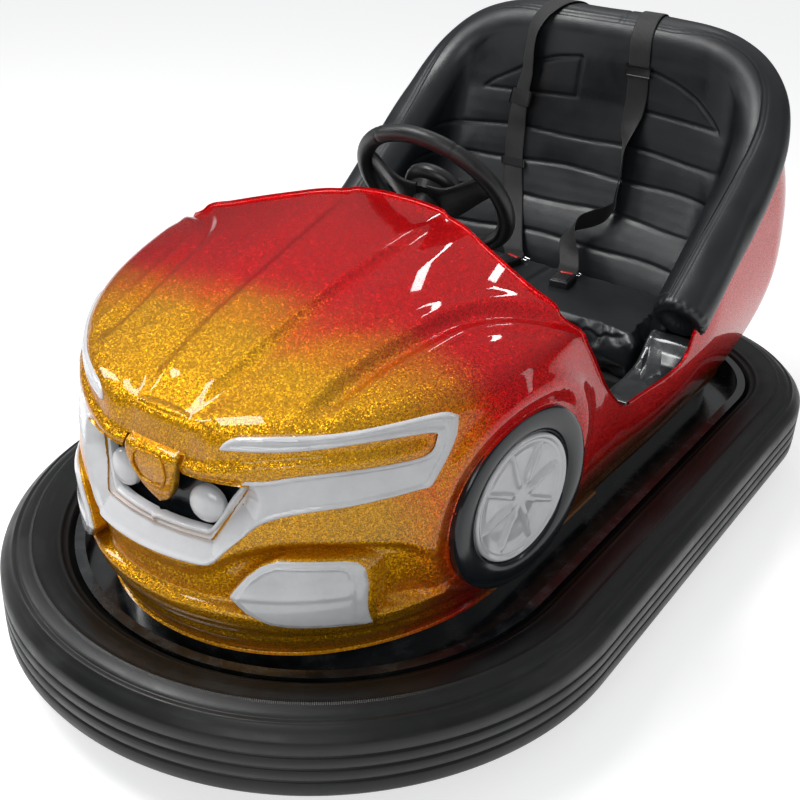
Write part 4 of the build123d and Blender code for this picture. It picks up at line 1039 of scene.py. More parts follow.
black_gloss, shader = new_material("black_gel_coat")
haze = noise(black_gloss, 18.0, 5.0)
link(black_gloss, two_shades(black_gloss, haze, 0.0, 1.0, (0.006, 0.008, 0.010), (0.014, 0.017, 0.020)),
     shader.inputs["Base Color"])
link(black_gloss, between(black_gloss, haze, 0.3, 0.7, 0.10, 0.22), shader.inputs["Roughness"])
shader.inputs["Specular IOR Level"].default_value = 0.4
skin_patch("grille_panel_plate", (-0.18, 0.390), (0.18, 0.562), PANEL_OUTLINE,
           ((-0.002, PANEL_SET_BACK), (0.0, PANEL_SET_BACK), (0.05, PANEL_SET_BACK)), 0.004, black_gloss,
           "grille_panel", hollowed=False, step=0.006)


def lathe(bm, profile, steps, place, axis, up):
    """Adds a turned form: (radius, height along the axis) rows round a centre."""
    axis, up = np.array(axis, float), np.array(up, float)
    side = np.cross(up, axis)
    angles = np.arange(steps) * 2 * pi / steps
    rings = []
    for radius, height in profile:
        centre = np.array(place, float) + axis * height
        if radius < 1e-6:
            rings.append([bm.verts.new(centre)] * steps)
        else:
            spots = centre + radius * (np.cos(angles)[:, None] * up + np.sin(angles)[:, None] * side)
            rings.append([bm.verts.new(p) for p in spots])
    join_rings(bm, rings)


lamps = bmesh.new()
dome = [(LAMP_R, -0.006)]
dome += [(LAMP_R * cos(a), LAMP_HIGH * sin(a)) for a in np.linspace(0, pi / 2, 16)]
dome[-1] = (0.0, LAMP_HIGH)
for side in (1, -1):
    x, y, z = GRILLE_LAMP
    out = Vector((side * 0.16, -1.0, 0.03)).normalized()
    lathe(lamps, dome, 40, (side * x, y, z), out, Vector((0, 0, 1)).cross(out).cross(-out).normalized())
bmesh.ops.recalc_face_normals(lamps, faces=lamps.faces)
lamps = to_piece(lamps, "grille_lamp_domes")
lamps.data.materials.append(white_gloss)
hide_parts("grille_lamps")
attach(lamps, "root")


# Dummy wheels: black moulded tyres sunk in the arches, each with a white disc of
# spokes pressed in one piece; they don't turn.
DUMMY_TYRE = ((0.100, -0.030), (0.158, -0.030), (0.1612, -0.012), (0.1612, -0.002), (0.1600, 0.0022),
              (0.1570, 0.0046), (0.150, 0.0062), (0.138, 0.0068), (0.126, 0.0058), (0.1185, 0.0030),
              (0.1155, -0.0010), (0.1148, -0.010))
HUB_SPOKES, FIRST_SPOKE, HUB_SIDES = 8, radians(110), 240
HUB_RINGS = (0.008, 0.016, 0.022, 0.026, 0.029, 0.032, 0.036, 0.042, 0.050, 0.058, 0.066, 0.074, 0.081,
             0.087, 0.091, 0.094, 0.097, 0.0995, 0.1010, 0.1025, 0.1040, 0.1060, 0.1085, 0.1105, 0.1120,
             0.1130, 0.1135, 0.1137)
HUB_PROFILE = ((0, -0.001), (0.020, -0.001), (0.028, -0.0040), (0.050, -0.0060), (0.085, -0.0055),
               (0.0965, -0.0020), (0.1000, 0.0000), (0.1020, -0.0012), (0.1040, 0.0006), (0.1085, 0.0030),
               (0.1115, 0.0024), (0.1132, -0.0004), (0.1137, -0.010))
SPOKE_HALF, SPOKE_HIGH = (0.0078, 0.0048), 0.0072


def hub_height(radius, angle):
    """How far the disc stands out along the wheel's axis."""
    height = np.interp(radius, *np.array(HUB_PROFILE).T)
    turn = (angle - FIRST_SPOKE) % (2 * pi / HUB_SPOKES)
    turn = np.minimum(turn, 2 * pi / HUB_SPOKES - turn)
    across = radius * np.sin(turn)
    half = np.interp(radius, (0.03, 0.095), SPOKE_HALF)
    spoke = soft_step(half, half * 0.35, across) * soft_step(0.018, 0.034, radius)
    spoke = spoke * soft_step(0.098, 0.086, radius)
    return height + SPOKE_HIGH * spoke


for side, word in ((1, "left"), (-1, "right")):
    centre = DUMMY_CENTRE * (side, 1, 1)
    out = DUMMY_OUT * (side, 1, 1)
    tyre = bmesh.new()
    lathe(tyre, DUMMY_TYRE, 120, centre, out, (0, 0, 1))
    bmesh.ops.recalc_face_normals(tyre, faces=tyre.faces)
    tyre = to_piece(tyre, "dummy_tyre_ring_" + word)
    tyre.data.materials.append(black_gloss)
    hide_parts("dummy_tyre_" + word)
    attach(tyre, "root")

    forward = np.cross((0, 0, 1), out) * side
    radius, angle = np.meshgrid(HUB_RINGS, np.arange(HUB_SIDES) * 2 * pi / HUB_SIDES, indexing="ij")
    across = np.cos(angle)[..., None] * forward + np.sin(angle)[..., None] * (0, 0, 1)
    spots = centre + out * hub_height(radius, angle)[..., None] + radius[..., None] * across
    hub = bmesh.new()
    rings = [[hub.verts.new(p) for p in ring] for ring in spots]
    middle = hub.verts.new(centre + out * hub_height(np.zeros(1), np.zeros(1))[0])
    for k in range(HUB_SIDES):
        hub.faces.new((middle, rings[0][k], rings[0][(k + 1) % HUB_SIDES]))
    join_rings(hub, rings)
    bmesh.ops.recalc_face_normals(hub, faces=hub.faces)
    hub = to_piece(hub, "dummy_hub_disc_" + word)
    hub.data.materials.append(white_gloss)
    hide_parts("dummy_hub_" + word)
    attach(hub, "root")


# Steering wheel: a thick foam rim sewn in a sleeve with four seams, on three
# pressed arms dished towards the dash, with a round pad bolted over the hub.
WHEEL_CENTRE, WHEEL_R, WHEEL_TILT = np.array((0.0, -0.075, 0.740)), 0.147, radians(34.5)
WHEEL_AXIS = np.array((0.0, cos(WHEEL_TILT), sin(WHEEL_TILT)))
WHEEL_UP = np.array((0.0, -sin(WHEEL_TILT), cos(WHEEL_TILT)))
WHEEL_SIDE = np.array((1.0, 0.0, 0.0))
GRIP_R, SEAM_ANGLES, SEAM_HALF, SEAM_DEEP = 0.0162, (59, 121, 239, 301), 0.9, 0.0016
SIDE_ARM = (  # lower corner, upper corner (across, up), how far the arm is dished
    (0.012, -0.040, 0.012, 0.046, -0.029), (0.042, -0.034, 0.040, 0.046, -0.028),
    (0.066, -0.020, 0.064, 0.053, -0.023), (0.092, -0.001, 0.088, 0.063, -0.013),
    (0.116, 0.016, 0.108, 0.070, -0.004), (0.136, 0.026, 0.124, 0.078, 0.0))
LOW_ARM = ((-0.018, -0.030, 0.018, -0.030, -0.028), (-0.017, -0.070, 0.017, -0.070, -0.020),
           (-0.014, -0.110, 0.014, -0.110, -0.008), (-0.017, -0.145, 0.017, -0.145, 0.0))
ARM_THICK, ARM_LIP, ARM_SIDES, RIM_POINTS = 0.009, 0.004, 20, 288
PAD_PROFILE = ((0.0, -0.046), (0.027, -0.046), (0.028, -0.030), (0.044, -0.028), (0.047, -0.012),
               (0.056, -0.009), (0.0605, -0.004), (0.0620, 0.003), (0.0608, 0.010), (0.0565, 0.0155),
               (0.050, 0.0185), (0.040, 0.0200), (0.0385, 0.0185), (0.037, 0.0185), (0.0355, 0.0202),
               (0.018, 0.0212), (0.0, 0.0215))


wheel_grip = two_tone("black_wheel_sleeve", (0.007, 0.007, 0.008), (0.013, 0.013, 0.014), 30.0,
                      (0.34, 0.46), (900.0, 0.25, 0.0004))

rim = bmesh.new()
turns = np.arange(RIM_POINTS) * 2 * pi / RIM_POINTS
off_seam = np.min([np.abs((np.degrees(turns) - seam + 180) % 360 - 180) for seam in SEAM_ANGLES], axis=0)
sleeve = GRIP_R - SEAM_DEEP * np.exp(-(off_seam / SEAM_HALF) ** 2)
circle = WHEEL_CENTRE + WHEEL_R * (np.cos(turns)[:, None] * WHEEL_SIDE + np.sin(turns)[:, None] * WHEEL_UP)
closed_tube(rim, circle, sleeve, 24, lean=WHEEL_AXIS, flat=0.94)
bmesh.ops.recalc_face_normals(rim, faces=rim.faces)
rim = to_piece(rim, "steering_rim_sleeve")
rim.data.materials.append(wheel_grip)
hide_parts("steering_rim")
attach(rim, "steering_wheel")

arms = bmesh.new()
mirrored = [(-x, y, -far_x, far_y, dish) for x, y, far_x, far_y, dish in SIDE_ARM]
for stations in (SIDE_ARM, mirrored, LOW_ARM):
    rings = []
    for x, y, far_x, far_y, dish in soft_line(stations, 5):
        near, far = np.array((x, y)), np.array((far_x, far_y))
        ring = []
        for k in range(ARM_SIDES):
            turn = 2 * pi * k / ARM_SIDES
            side = np.sign(cos(turn)) * abs(cos(turn)) ** 0.35
            plan = (near + far) / 2 + (far - near) / 2 * side
            lift = ARM_THICK / 2 * np.sign(sin(turn)) * abs(sin(turn)) ** 0.6 + ARM_LIP * side ** 4
            ring.append(arms.verts.new(WHEEL_CENTRE + WHEEL_SIDE * plan[0] + WHEEL_UP * plan[1]
                                       + WHEEL_AXIS * (dish + lift)))
        rings.append(ring)
    join_rings(arms, rings)
    arms.faces.new(rings[0])
    arms.faces.new(rings[-1])
lathe(arms, PAD_PROFILE, 72, WHEEL_CENTRE, WHEEL_AXIS, WHEEL_UP)
bmesh.ops.recalc_face_normals(arms, faces=arms.faces)
arms = to_piece(arms, "steering_arms_and_pad")
sharp_by_angle(arms, 40)
arms.data.materials.append(black_plastic)
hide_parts("steering_hub")
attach(arms, "steering_wheel")


# Dash: a moulded black panel under the hood's lip, its ends drawn in so that
# they stay under the glass-fibre shell.
DASH_STRAIGHT, DASH_DRAW_IN, DASH_DROOP = 0.29, 0.58, 0.10
dash_mesh = nodes["dash_panel"].data.copy()
dash_mesh.transform(nodes["dash_panel"].matrix_world)
for vert in dash_mesh.vertices:
    over = max(0.0, abs(vert.co.x) - DASH_STRAIGHT)
    vert.co.x -= np.sign(vert.co.x) * over * (1 - DASH_DRAW_IN)
    vert.co.z -= over * DASH_DROOP
dash_mesh.materials.clear()
dash_mesh.materials.append(black_plastic)
dash = bpy.data.objects.new("dash_moulding", dash_mesh)
scene.collection.objects.link(dash)
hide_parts("dash_panel")
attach(dash, "root")


# Sill pads: glossy black film glued over foam on each door sill, creased where
# riders step and sit on it.
SILL_IN, SILL_END, SILL_CREASE, SILL_ROUND = 0.343, 0.216, 0.0022, 0.010
SILL_DEEP, SILL_TUCK = 0.012, 0.86  # how far the film's edge is turned down and drawn in
SILL_LINE = ((-0.01, 0.4035), (0.02, 0.3998), (0.10, 0.4005), (0.140, 0.406), (0.165, 0.4150),
             (0.185, 0.432), (0.200, 0.452), (0.216, 0.462))
black_film = two_tone("glossy_black_film", (0.010, 0.011, 0.012), (0.035, 0.037, 0.040), 16.0,
                      (0.12, 0.30), (45.0, 0.12, 0.0010))
shader = black_film.node_tree.nodes["Principled BSDF"]
shader.inputs["Coat Weight"].default_value = 0.4
shader.inputs["Coat Roughness"].default_value = 0.10


def creases(x, y):
    """Shallow dents and ridges of a film that has been stepped on."""
    return (np.sin(x * 62 + 1.8 * np.sin(y * 24)) * np.cos(y * 34 + 1.4 * np.sin(x * 30))
            + 0.22 * np.sin(x * 120 + y * 70) * np.cos(y * 95 - x * 50))


for word, side in (("left", 1), ("right", -1)):
    low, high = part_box("sill_pad_" + word)
    along, across = np.meshgrid(np.linspace(low[1], SILL_END, 90), np.linspace(0, 1, 30), indexing="ij")
    level = np.interp(along, *np.array(SILL_LINE).T)
    half, split_half = (smooth_table(table, np.minimum(level.ravel(), FRONT_TOP))[:, 0].reshape(level.shape)
                        for table in (REAR_OUTLINES, FRONT_OUTLINES))
    outer = half - (1 - soft_step(0, WIDENS_BY, along)) * (half - split_half) - WALL + 0.001
    x = SILL_IN + (outer - SILL_IN) * across
    edge = np.minimum(across * (outer - SILL_IN), along - low[1])
    bend = np.clip(SILL_ROUND - edge, 0, SILL_ROUND)
    fall = SILL_ROUND - np.sqrt(np.maximum(SILL_ROUND ** 2 - bend ** 2, 0))
    z = level - fall - SILL_CREASE * (1 + creases(x, along)) * 0.5 * soft_step(0, 0.02, edge)
    film = grid_bmesh(np.stack([x * side, along, z], axis=-1))
    walls = bmesh.ops.extrude_edge_only(film, edges=[e for e in film.edges if e.is_boundary])["geom"]
    for vert in [g for g in walls if isinstance(g, bmesh.types.BMVert)]:
        vert.co.z -= SILL_DEEP
        vert.co.x = side * (SILL_IN + (abs(vert.co.x) - SILL_IN) * SILL_TUCK)
    bmesh.ops.holes_fill(film, edges=[e for e in film.edges if e.is_boundary])
    bmesh.ops.recalc_face_normals(film, faces=film.faces)
    film = to_piece(film, "sill_film_" + word)
    film.data.materials.append(black_film)
    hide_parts("sill_pad_" + word)
    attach(film, "root")


# Padded roll: black vinyl over a foam tube, drawn round the seat's edge, with a
# double row of stitches inside its crest, a joint at the top and open ends tucked in.
ROLL_R, VINYL_IN, JOINT_DEEP, JOINT_HALF = 0.057, 0.0012, 0.0022, 0.0022
ROLL_HALF = (  # middle of the foam tube, from its left end up to the middle of the car
    (0.402, 0.194, 0.495), (0.402, 0.268, 0.550), (0.402, 0.330, 0.596), (0.402, 0.392, 0.642),
    (0.402, 0.450, 0.686), (0.399, 0.505, 0.730), (0.388, 0.556, 0.780), (0.362, 0.598, 0.834),
    (0.318, 0.625, 0.876), (0.262, 0.638, 0.902), (0.200, 0.643, 0.914), (0.130, 0.645, 0.918),
    (0.065, 0.645, 0.919), (0.0, 0.645, 0.919))
STITCH_ROWS, STITCH_TURN, STITCH_DEEP, STITCH_HALF = (-4.0, 4.0), (75, 45), 0.0019, 1.7
TUCK_LONG, JOINT_X = 0.016, 0.028
ROLL_SIDES = 120

vinyl, shader = new_material("black_grained_vinyl")
coordinates = add_node(vinyl, "ShaderNodeTexCoord")
grain = add_node(vinyl, "ShaderNodeTexVoronoi", [
    ("Vector", coordinates.outputs["Object"]), ("Scale", 420.0)], feature="SMOOTH_F1")
folds = noise(vinyl, 11.0, 4.0)
link(vinyl, two_shades(vinyl, folds, 0.30, 0.75, (0.0045, 0.0055, 0.0070), (0.0095, 0.0115, 0.0140)),
     shader.inputs["Base Color"])
link(vinyl, between(vinyl, folds, 0.3, 0.7, 0.32, 0.46), shader.inputs["Roughness"])
link(vinyl, relief(vinyl, folds, 0.30, 0.006, relief(vinyl, grain.outputs["Distance"], 0.22, 0.0005)),
     shader.inputs["Normal"])

half_line = soft_line(ROLL_HALF, 12)
roll_line = np.concatenate([half_line, half_line[-2::-1] * (-1, 1, 1)])
roll_way = np.gradient(roll_line, axis=0)
roll_way /= np.linalg.norm(roll_way, axis=1)[:, None]
roll_run = np.concatenate([[0], np.cumsum(np.linalg.norm(np.diff(roll_line, axis=0), axis=1))])
from_end = np.minimum(roll_run, roll_run[-1] - roll_run)
seat_middle = np.array((0.0, 0.25, 0.0))
inward = seat_middle - roll_line * (1, 1, 0)
inward -= roll_way * (inward * roll_way).sum(1)[:, None]
inward[:, 2] *= 0.2
inward -= roll_way * (inward * roll_way).sum(1)[:, None]
inward /= np.linalg.norm(inward, axis=1)[:, None]
upward = np.cross(roll_way, inward)
upward *= np.sign(upward[:, 2])[:, None]
turns = np.arange(ROLL_SIDES) * 360 / ROLL_SIDES
stitch_at = np.interp(np.abs(roll_line[:, 0]), (0.15, 0.33), STITCH_TURN[::-1])
radius = np.full((len(roll_line), ROLL_SIDES), ROLL_R - VINYL_IN)
for row in STITCH_ROWS:
    gap = (turns[None, :] - stitch_at[:, None] - row + 180) % 360 - 180
    radius -= STITCH_DEEP * np.exp(-(gap / STITCH_HALF) ** 2)
around, along = np.radians(turns)[None, :], roll_run[:, None]
radius += 0.0010 * np.sin(along * 23 + 2 * np.cos(around * 2)) * np.cos(around * 3 + along * 11)
radius -= JOINT_DEEP * np.exp(-((roll_line[:, 0] - JOINT_X) / JOINT_HALF) ** 2)[:, None]
tuck = np.clip((TUCK_LONG - from_end) / TUCK_LONG, 0, 1)
radius *= (1 - 0.30 * tuck ** 2.2)[:, None] * (1 + 0.02 * (tuck[:, None] > 0) * np.sin(around * 17))
ring_points = roll_line[:, None, :] + radius[..., None] * (
    np.cos(around)[..., None] * inward[:, None, :] + np.sin(around)[..., None] * upward[:, None, :])
roll = bmesh.new()
rings = [[roll.verts.new(p) for p in ring] for ring in ring_points]
join_rings(roll, rings)
for ring, middle, way in ((rings[0], roll_line[0], roll_way[0]), (rings[-1], roll_line[-1], -roll_way[-1])):
    inner = [roll.verts.new(middle + way * 0.012 + (np.array(v.co) - middle) * 0.72) for v in ring]
    centre = roll.verts.new(middle + way * 0.020)
    for k in range(ROLL_SIDES):
        n = (k + 1) % ROLL_SIDES
        roll.faces.new((ring[k], ring[n], inner[n], inner[k]))
        roll.faces.new((inner[k], inner[n], centre))
bmesh.ops.recalc_face_normals(roll, faces=roll.faces)
roll = to_piece(roll, "seat_roll_vinyl")
roll.data.materials.append(vinyl)
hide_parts("seat_roll")
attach(roll, "root")


# Seat back: the same vinyl over foam, curved round both riders, with sewn
# channels across it and an arched outline sewn behind each shoulder.
SEAT_OUTLINES = (  # height, half width, reach, side arc, back arc
    (0.155, 0.326, 0.440, 0.090, 0.900), (0.440, 0.342, 0.500, 0.100, 0.900),
    (0.600, 0.356, 0.580, 0.130, 0.900), (0.770, 0.366, 0.612, 0.160, 0.900),
    (0.960, 0.350, 0.604, 0.180, 0.900))
BACK_FROM_Y, BACK_LOW, BACK_TUCK, BACK_THICK = 0.213, 0.330, 0.012, 0.030
SEAT_TOP = SEAT_OUTLINES[-1][0]
CHANNELS = (  # height, then from which x to which x it is sewn
    (0.691, -0.372, 0.352), (0.622, -0.366, 0.345), (0.547, -0.352, 0.338), (0.475, -0.340, 0.330))
ARCHES = (
    ((-0.282, 0.772), (-0.262, 0.790), (-0.221, 0.812), (-0.160, 0.846), (-0.110, 0.863), (-0.051, 0.872),
     (-0.058, 0.825), (-0.063, 0.779), (-0.150, 0.774), (-0.282, 0.772)),
    ((0.095, 0.869), (0.130, 0.863), (0.180, 0.848), (0.230, 0.825), (0.268, 0.795), (0.290, 0.772),
     (0.200, 0.774), (0.095, 0.776)))
SEW_DEEP, SEW_HALF, PUFF = 0.0038, 0.0034, 0.0016


def line_gap(x, z, line):
    """Distance to an open line of the front view."""
    best = np.full(x.shape, 9.0)
    for (ax, az), (bx, bz) in zip(line, line[1:]):
        dx, dz = bx - ax, bz - az
        t = np.clip(((x - ax) * dx + (z - az) * dz) / (dx * dx + dz * dz), 0, 1)
        best = np.minimum(best, np.hypot(x - ax - t * dx, z - az - t * dz))
    return best


def seat_outline(z, end_steps, side_steps):
    """Plan points of the seat's inner face at one height, and its ways out."""
    half, reach, side_r, end_r = smooth_table(SEAT_OUTLINES, np.array([z]))[0]
    end, ways = rounded_end(half, reach, side_r, end_r, 1, end_steps)
    along = np.linspace(BACK_FROM_Y, end[0][1], side_steps, endpoint=False)
    side = np.column_stack([np.full(side_steps, half), along])
    outline = np.concatenate([side, end, side[::-1] * (-1, 1)])
    outward = np.concatenate([np.tile([1.0, 0.0], (side_steps, 1)), ways,
                              np.tile([-1.0, 0.0], (side_steps, 1))])
    return outline, outward


END_STEPS, SIDE_STEPS, BACK_ROWS, WRAP_ROWS = 150, 45, 150, 22
WRAP_FROM, WRAP_LEVEL, SEAM_CLEAR = -3, 0.80, 0.0009
levels = np.linspace(0.30, SEAT_TOP, 67)
outlines = [seat_outline(z, END_STEPS, SIDE_STEPS) for z in levels]
outline_at, outward_at = (np.array(part) for part in zip(*outlines))
columns = outline_at.shape[1]


def on_roll(k, turn_deg):
    """A point of the roll's surface at a place along it and an angle above inwards."""
    spots = []
    for table in (roll_line, inward, upward):
        spots.append(np.column_stack([np.interp(k, np.arange(len(table)), table[:, i]) for i in range(3)]))
    turn = np.radians(np.asarray(turn_deg, float))[:, None]
    out = spots[1] * np.cos(turn) + spots[2] * np.sin(turn)
    return spots[0] + (ROLL_R - VINYL_IN + SEAM_CLEAR) * out


every = np.arange(len(roll_line), dtype=float)
wrap_start = on_roll(every, np.full(len(every), WRAP_FROM))
under_roll = outline_at[np.argmin(np.abs(levels - WRAP_LEVEL))]
nearest = np.array([np.argmin(np.hypot(*(wrap_start[:, :2] - p).T)) for p in under_roll], float)
nearest = np.convolve(np.pad(nearest, 6, mode="edge"), np.ones(13) / 13, mode="valid")
roll_foot = on_roll(nearest, np.full(columns, WRAP_FROM))
seam_turn = np.interp(nearest, every, stitch_at) + STITCH_ROWS[0] - 3.0
sheet = np.zeros((BACK_ROWS + WRAP_ROWS, columns, 3))
ways_out = np.zeros((BACK_ROWS + WRAP_ROWS, columns, 2))
for row in range(BACK_ROWS):
    sheet[row, :, 2] = BACK_LOW + (roll_foot[:, 2] - BACK_TUCK - BACK_LOW) * row / (BACK_ROWS - 1)
for row in range(WRAP_ROWS):
    turn = WRAP_FROM + (seam_turn - WRAP_FROM) * row / (WRAP_ROWS - 1)
    sheet[BACK_ROWS + row] = on_roll(nearest, turn)
for k in range(columns):
    for axis in (0, 1):
        sheet[:BACK_ROWS, k, axis] = np.interp(sheet[:BACK_ROWS, k, 2], levels, outline_at[:, k, axis])
        ways_out[:, k, axis] = np.interp(sheet[:, k, 2], levels, outward_at[:, k, axis])
    foot = roll_foot[k, :2] - sheet[BACK_ROWS - 1, k, :2]
    near_roll = soft_step(0.20, 0.0, roll_foot[k, 2] - sheet[:BACK_ROWS, k, 2])
    sheet[:BACK_ROWS, k, :2] += foot * near_roll[:, None]
x, y, z = sheet[..., 0], sheet[..., 1], sheet[..., 2]
sewn_in = np.zeros(x.shape)
for height, start, stop in CHANNELS:
    beyond = np.maximum(np.maximum(start - x, x - stop), 0)
    sag = 0.003 * np.sin(x * 21 + height * 40)
    sewn_in += SEW_DEEP * np.exp(-(((z - height + sag) / SEW_HALF) ** 2)) * np.exp(-(beyond / 0.008) ** 2)
for arch in ARCHES:
    sewn_in += SEW_DEEP * np.exp(-(line_gap(x, z, arch) / SEW_HALF) ** 2)
heights = np.array([0.40] + sorted(c[0] for c in CHANNELS) + [0.775, 0.90])
to_seam = np.min([np.abs(z - h) for h in heights], axis=0)
puff = PUFF * soft_step(0.0, 0.030, to_seam) * (1 - soft_step(0.28, 0.36, np.abs(x)))
puff += 0.0007 * np.sin(x * 17 + z * 9) * np.sin(z * 23 - x * 7)
on_face = np.zeros(x.shape)
on_face[:BACK_ROWS] = soft_step(0.0, 0.03, roll_foot[None, :, 2] - z[:BACK_ROWS])
face = sheet.copy()
face[..., :2] += ways_out * ((sewn_in - puff) * on_face)[..., None]
behind = sheet[:BACK_ROWS].copy()
behind[..., :2] += ways_out[:BACK_ROWS] * BACK_THICK
stack = np.concatenate([face, behind[::-12]])
seat_back = bmesh.new()
verts = [seat_back.verts.new(p) for p in stack.reshape(-1, 3)]
for corners in grid_faces(len(stack), columns, close_rows=True):
    seat_back.faces.new([verts[i] for i in corners])
bmesh.ops.holes_fill(seat_back, edges=[e for e in seat_back.edges if e.is_boundary])
bmesh.ops.recalc_face_normals(seat_back, faces=seat_back.faces)
seat_back = to_piece(seat_back, "seat_back_vinyl")
seat_back.data.materials.append(vinyl)
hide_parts("seat_back")
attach(seat_back, "root")


# Seat cushion: a loose foam pad in the same vinyl, crowned on top, its front and
# back drawn in between the corners, with one seam down the middle.
PAD_INSET, PAD_ROUND, PAD_VOXEL, SWELL_FRAMES = 0.016, 0.022, 0.006, 20
PAD_DRAW_IN, PAD_CROWN, PAD_SEAM_DEEP, PAD_SEAM_HALF = 0.010, 0.004, 0.0035, 0.006
low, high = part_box("seat_cushion")
low, high = np.array(low), np.array(high)
pad = bmesh.new()
bmesh.ops.create_cube(pad, size=1.0)
pad_size = (high - low) - PAD_INSET
for vert in pad.verts:
    vert.co = Vector([vert.co[i] * pad_size[i] + (low[i] + high[i]) / 2 for i in range(3)])
bmesh.ops.bevel(pad, geom=pad.edges, offset=PAD_ROUND, segments=4, profile=0.6, affect="EDGES")
pad = to_piece(pad, "seat_cushion_vinyl")
remesh = pad.modifiers.new("remesh", "REMESH")
remesh.mode = "VOXEL"
remesh.voxel_size = PAD_VOXEL
cloth = pad.modifiers.new("cloth", "CLOTH")
cloth.settings.use_pressure = True
cloth.settings.uniform_pressure_force = 4.0
cloth.settings.effector_weights.gravity = 0.0
cloth.settings.quality = 4
cloth.settings.tension_stiffness = 30
cloth.settings.compression_stiffness = 30
cloth.point_cache.frame_end = SWELL_FRAMES
for step in range(1, SWELL_FRAMES + 1):
    scene.frame_set(step)
shape = bpy.data.meshes.new_from_object(pad.evaluated_get(bpy.context.evaluated_depsgraph_get()))
scene.frame_set(1)
pad.modifiers.clear()
pad.data = shape
points = np.array([v.co for v in pad.data.vertices])
middle, reach = (low + high) / 2, (high - low) / 2
points = np.clip(points, low, high)
side = (points - middle) / reach
points[:, 1] -= PAD_DRAW_IN * (1 - side[:, 0] ** 2) * np.sign(side[:, 1]) * (np.abs(side[:, 1]) > 0.8)
crown = (points[:, 2] > middle[2] + 0.02) * (1 - side[:, 0] ** 4) * (1 - side[:, 1] ** 4)
points[:, 2] = np.minimum(points[:, 2] + PAD_CROWN * crown, high[2] + PAD_CROWN)
seam = np.exp(-(points[:, 0] / PAD_SEAM_HALF) ** 2)
points[:, 2] -= (points[:, 2] > middle[2]) * PAD_SEAM_DEEP * seam
pad.data.vertices.foreach_set("co", points.astype(np.float32).ravel())
subdivide = pad.modifiers.new("smooth", "SUBSURF")
subdivide.levels = subdivide.render_levels = 1
smooth_shape = bpy.data.meshes.new_from_object(pad.evaluated_get(bpy.context.evaluated_depsgraph_get()))
pad.modifiers.clear()
pad.data = smooth_shape
pad.data.polygons.foreach_set("use_smooth", [True] * len(pad.data.polygons))
pad.data.materials.clear()
pad.data.materials.append(vinyl)
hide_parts("seat_cushion")
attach(pad, "root")


# Shoulder belts: black webbing over the roll and down the back, twisted and
# folded as the last riders left them, each ending in a buckle on the cushion.
WEB_THICK, WEB_HALF, OVER_ROLL, BELT_CLEAR = 0.0021, 0.024, 0.0590, 0.0028
SEAT_BEHIND_Y, CUSHION_TOP = 0.62, 0.47  # in front of and above these the belts lie on the seat back
ROLL_TOP_Y, ROLL_TOP_Z = 0.645, 0.919
ROLL_TURNS = (0, 30, 60, 90, 120, 150, 180)
BELT_RIGHT_TOP_X = (-0.100, -0.106, -0.114, -0.127, -0.143, -0.158, -0.168)
BELT_LEFT_TOP_X = (0.080, 0.080, 0.081, 0.082, 0.083, 0.084, 0.085)
BELT_RIGHT = (  # centre of the webbing, then half of its width as a vector
    (-0.172, 0.587, 0.890, 0.017, -0.013, 0.0), (-0.176, 0.593, 0.850, 0.018, -0.011, 0.0),
    (-0.178, 0.596, 0.815, 0.019, -0.010, 0.0), (-0.187, 0.597, 0.770, 0.021, -0.006, 0.0),
    (-0.190, 0.592, 0.720, 0.023, -0.003, 0.0), (-0.189, 0.584, 0.670, 0.024, 0.0, 0.0),
    (-0.182, 0.570, 0.615, 0.024, 0.0, 0.0), (-0.168, 0.548, 0.562, 0.023, 0.004, 0.002),
    (-0.150, 0.518, 0.512, 0.023, 0.006, 0.003), (-0.126, 0.480, 0.468, 0.024, 0.006, 0.002),
    (-0.108, 0.456, 0.447, 0.024, 0.004, 0.0), (-0.094, 0.438, 0.4435, 0.024, 0.002, 0.0),
    (-0.086, 0.418, 0.4430, 0.022, 0.0, 0.0))
BELT_LEFT = (
    (0.086, 0.588, 0.890, 0.024, 0.0, 0.0), (0.087, 0.594, 0.850, 0.024, 0.0, 0.0),
    (0.0875, 0.597, 0.812, 0.024, 0.0, 0.0), (0.084, 0.597, 0.768, 0.0235, -0.003, 0.0),
    (0.078, 0.594, 0.735, 0.020, -0.009, 0.0), (0.080, 0.586, 0.700, 0.012, -0.020, 0.0),
    (0.086, 0.575, 0.650, 0.009, -0.021, 0.0), (0.088, 0.560, 0.602, 0.008, -0.021, 0.004),
    (0.092, 0.542, 0.575, 0.006, -0.018, 0.013), (0.083, 0.520, 0.558, 0.003, -0.011, 0.021),
    (0.060, 0.505, 0.545, 0.001, -0.009, 0.0225), (0.034, 0.494, 0.532, 0.005, -0.010, 0.021),
    (0.020, 0.482, 0.517, 0.015, -0.010, 0.016), (0.022, 0.469, 0.496, 0.022, -0.006, 0.008),
    (0.034, 0.458, 0.470, 0.0245, 0.0, 0.002), (0.045, 0.443, 0.4500, 0.0245, 0.0, 0.0),
    (0.052, 0.425, 0.4435, 0.0240, 0.0, 0.0), (0.057, 0.405, 0.4430, 0.0220, 0.0, 0.0))
webbing, shader = new_material("black_webbing")
along_web = add_node(webbing, "ShaderNodeTexCoord").outputs["UV"]
ribs = add_node(webbing, "ShaderNodeTexWave", [("Vector", along_web), ("Scale", 95.0)], bands_direction="Y")
picks = add_node(webbing, "ShaderNodeTexWave", [("Vector", along_web), ("Scale", 160.0)], bands_direction="X")
weave = sums(webbing, "ADD", ribs.outputs["Fac"], picks.outputs["Fac"])
grey = between(webbing, weave, 0.0, 2.0, 0.004, 0.014)
web_colour = add_node(webbing, "ShaderNodeCombineColor", [("Red", grey), ("Green", grey), ("Blue", grey)])
link(webbing, web_colour.outputs["Color"], shader.inputs["Base Color"])
link(webbing, relief(webbing, weave, 0.35, 0.0006), shader.inputs["Normal"])
